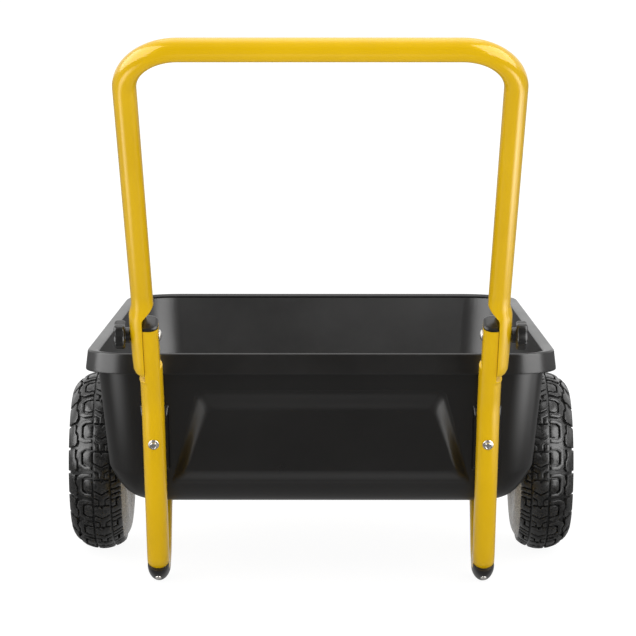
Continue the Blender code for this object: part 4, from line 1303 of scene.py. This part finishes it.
# Cross strap
# A flat steel bar with rounded corners, painted like the rails. It lies under both of them in front,
# where the floor bolts hold it, and ties them together.
strap_width = 0.030
strap_past_rails = 0.015
strap_corner = 0.006
strap_edge = 0.0005
strap_length = 2 * (rail_x + strap_past_rails)
strap_centre = front_floor_point - floor_normal * (rail_radius + seat_gap + strap_thickness / 2)
strap = bmesh.new()
bmesh.ops.create_cube(strap, size=1)
shape = Matrix(((strap_length, 0, 0), (0, strap_width, 0), (0, 0, strap_thickness)))
turn = Matrix((AXIS_X, floor_run, floor_normal)).transposed()
place = Matrix.Translation(strap_centre) @ (turn @ shape).to_4x4()
bmesh.ops.transform(strap, matrix=place, verts=strap.verts)


def edge_run(edge):
    """The way from one end of an edge to the other."""
    return edge.verts[0].co - edge.verts[1].co


rounded = {"profile": 0.5, "affect": "EDGES", "material": -1}
corners = [edge for edge in strap.edges if abs(edge_run(edge).length - strap_thickness) < 1e-6]
bmesh.ops.bevel(strap, geom=corners, offset=strap_corner, segments=6, **rounded)
rims = [edge for edge in strap.edges if abs(edge_run(edge).dot(floor_normal)) < 1e-6]
bmesh.ops.bevel(strap, geom=rims, offset=strap_edge, segments=2, **rounded)
fit(object_of("flat_cross_strap", strap, 40), yellow_paint, "frame", "yellow_paint", "cross_strap")

# Handle
# One steel tube bent to a U and powder coated. Its two ends are pressed to half rounds that lie
# against the rails, and each is clamped there by a bolt and a hand knob.
handle_radius = 0.015
handle_wall = 0.0015
handle_low, handle_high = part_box("handle")
bar_centre = Vector((0, handle_low.y + handle_radius, handle_high.z - handle_radius))
handle_past_rail = 0.00725
handle_half_spacing = rail_x + handle_past_rail
handle_corner_radius = 0.068
handle_bend_above = 0.075
handle_bend_radius = 0.100
handle_tail = 0.069
formed_above = 0.036
round_from = 0.060
formed_thickness = 0.0178
formed_depth = 0.035
tail_taper = 0.0025
tail_taper_length = 0.075
tail_round = 0.012
tail_end_thinner = 0.006
tail_end_narrower = 0.007
handle_bend_steps = 6
handle_corner_steps = 20
formed_steps = 12
flat_reach = joint_face - handle_past_rail + seat_gap
leg_bend = pivot - upper_down * handle_bend_above
leg_up = (bar_centre - leg_bend).normalized()
leg_x = AXIS_X * handle_half_spacing


def handle_section(wall, point, direction, across, formed, thinned, narrowed):
    """The handle tube's section; formed goes from 0, round, to 1, pressed to a half round."""
    half = handle_radius + (formed_depth / 2 - handle_radius) * formed - wall - narrowed
    top = handle_radius + (flat_reach + formed_thickness - handle_radius) * formed - thinned - wall
    clear = handle_radius + 0.002
    flat = (flat_reach + clear) * formed - clear + wall
    return tube_ring(point, direction, across, half, 1.0, -flat, top - half)


def handle_rings(wall):
    """The handle's rings from its right lower end up, over the bar and down to the left one."""
    stations = []
    for height in (0.0, 0.001, 0.003, 0.006, 0.012, 0.024, 0.045):
        end_round = max(0.0, 1 - height / tail_round) ** 2
        thinned = tail_taper * (1 - height / tail_taper_length) + tail_end_thinner * end_round
        point = leg_x + pivot + upper_down * (handle_tail - height)
        stations.append((point, -upper_down, AXIS_X, 1.0, thinned, tail_end_narrower * end_round))
    for height in (0.0, formed_above * 0.6, formed_above * 0.9):
        stations.append((leg_x + pivot - upper_down * height, -upper_down, AXIS_X, 1.0, 0, 0))
    for step in range(formed_steps + 1):
        height = formed_above + (round_from - formed_above) * step / formed_steps
        formed = 1 - ease(step / formed_steps)
        stations.append((leg_x + pivot - upper_down * height, -upper_down, AXIS_X, formed, 0, 0))
    elbow = bend_at(leg_x + leg_bend, -upper_down, leg_up, handle_bend_radius, handle_bend_steps)
    for point, direction in elbow:
        stations.append((point, direction, AXIS_X, 0, 0, 0))
    upright = leg_up.cross(AXIS_X)
    corner = bend_at(leg_x + bar_centre, leg_up, -AXIS_X, handle_corner_radius, handle_corner_steps)
    for point, direction in corner:
        stations.append((point, direction, upright.cross(direction), 0, 0, 0))
    right = [handle_section(wall, *station) for station in stations]
    left = [[Vector((-point.x, point.y, point.z)) for point in ring] for ring in reversed(right)]
    return right + left


handle = object_of("bent_handle", sweep(handle_rings(0) + handle_rings(handle_wall)[::-1], joined=True))
fit(handle, yellow_paint, "handle", "yellow_paint", "handle")

# Foot pads
# Black moulded pads that wrap the underside of each foot bend, each held by a screw from below. They are
# flat where they stand on the ground.
pad_half_angle = math.radians(48)
pad_wrap = math.radians(68)
sole_side = 0.0006
pad_gap = 0.0002
pad_end_share = 0.15
pad_end_thinner = 0.25
pad_end_narrower = 0.5
pad_lengths = 24
pad_turns = 18
ground_level = 0.0001


def foot_pad_outlines(side):
    """The pad's sections round the foot bend, rounded off towards both ends."""
    outlines = []
    centre = foot_centre + AXIS_X * rail_x * side
    hollow = rail_radius + pad_gap
    for step in range(pad_lengths + 1):
        share = 2 * step / pad_lengths - 1
        angle = pad_half_angle * share
        out = Vector((0, -math.sin(angle), -math.cos(angle)))
        end = (max(0.0, abs(share) - (1 - pad_end_share)) / pad_end_share) ** 2
        thickness = (sole_thickness + sole_flat) * (1 - pad_end_thinner * end)
        outline = []
        for turn in range(-pad_turns, pad_turns + 1):
            around = pad_wrap * turn / pad_turns
            reach = foot_bend_radius + (rail_radius + thickness) * math.cos(around)
            across = (rail_radius + sole_side * (1 - pad_end_narrower * end)) * math.sin(around)
            outline.append(centre + out * reach + AXIS_X * across)
        for turn in range(pad_turns, -pad_turns - 1, -1):
            around = pad_wrap * turn / pad_turns
            reach = foot_bend_radius + hollow * math.cos(around)
            outline.append(centre + out * reach + AXIS_X * (hollow * math.sin(around)))
        outlines.append(outline)
    return outlines


for side, hand in sides:
    pad = sweep(foot_pad_outlines(side))
    whole = [*pad.verts, *pad.edges, *pad.faces]
    cut = bmesh.ops.bisect_plane(
        pad, geom=whole, plane_co=(0, 0, ground_level), plane_no=(0, 0, 1), clear_inner=True
    )
    cut_edges = [item for item in cut["geom_cut"] if isinstance(item, bmesh.types.BMEdge)]
    bmesh.ops.holes_fill(pad, edges=cut_edges)
    bmesh.ops.recalc_face_normals(pad, faces=pad.faces)
    fit(object_of(f"{hand}_sole", pad), black_plastic, "frame", "black_plastic", f"{hand}_foot_pad")

# Knobs
# Five-lobed hand knobs of black plastic, each with a round boss that bears on the handle. They are
# screwed onto the joint bolts and clamp the handle to the rails.
knob_boss = 0.0105
knob_boss_edge = 0.001
knob_grip = 0.0205
knob_thickness = 0.015
knob_lobes = 5
knob_lobe_depth = 0.18
knob_round = 0.004
knob_round_steps = 6
knob_sides = 80
knob_inward = 0.0016

grip_end = knob_boss_length + knob_thickness
# Heights, radii and lobe depths from the boss to the middle of the outer face
knob_sizes = [
    (0, knob_boss - knob_boss_edge, 0),
    (0.0007, knob_boss, 0),
    (knob_boss_length - 0.001, knob_boss, 0),
    (knob_boss_length, knob_boss + knob_boss_edge, 0.02),
    (knob_boss_length, knob_grip - knob_round, knob_lobe_depth),
]
for step in range(1, knob_round_steps + 1):
    angle = math.pi / 2 * step / knob_round_steps
    height = knob_boss_length + knob_round * (1 - math.cos(angle))
    knob_sizes.append((height, knob_grip - knob_round * (1 - math.sin(angle)), knob_lobe_depth))
for step in range(knob_round_steps + 1):
    angle = math.pi / 2 * step / knob_round_steps
    height = grip_end - knob_round * (1 - math.sin(angle))
    knob_sizes.append((height, knob_grip - knob_round * (1 - math.cos(angle)), knob_lobe_depth))
knob_sizes.append((grip_end, 0.008, 0.05))


def knob_outline(centre, side, height, radius, lobes, phase):
    """A lobed outline; phase turns the lobes about the bolt."""
    outline = []
    for step in range(knob_sides):
        angle = 2 * math.pi * step / knob_sides
        reach = radius * (1 - lobes * (1 - math.cos(knob_lobes * angle + phase)) / 2)
        outline.append(centre + Vector((side * height, reach * math.cos(angle), reach * math.sin(angle))))
    return outline


for side, hand, phase in ((-1, "left", 0.0), (1, "right", math.radians(60))):
    centre = joint_at[f"{hand}_knob_turn"] - AXIS_X * side * knob_inward
    rings = [knob_outline(centre, side, *sizes, phase) for sizes in knob_sizes]
    piece = object_of(f"{hand}_hand_knob", sweep(rings))
    fit(piece, black_plastic, f"{hand}_knob", "black_plastic", f"{hand}_knob")
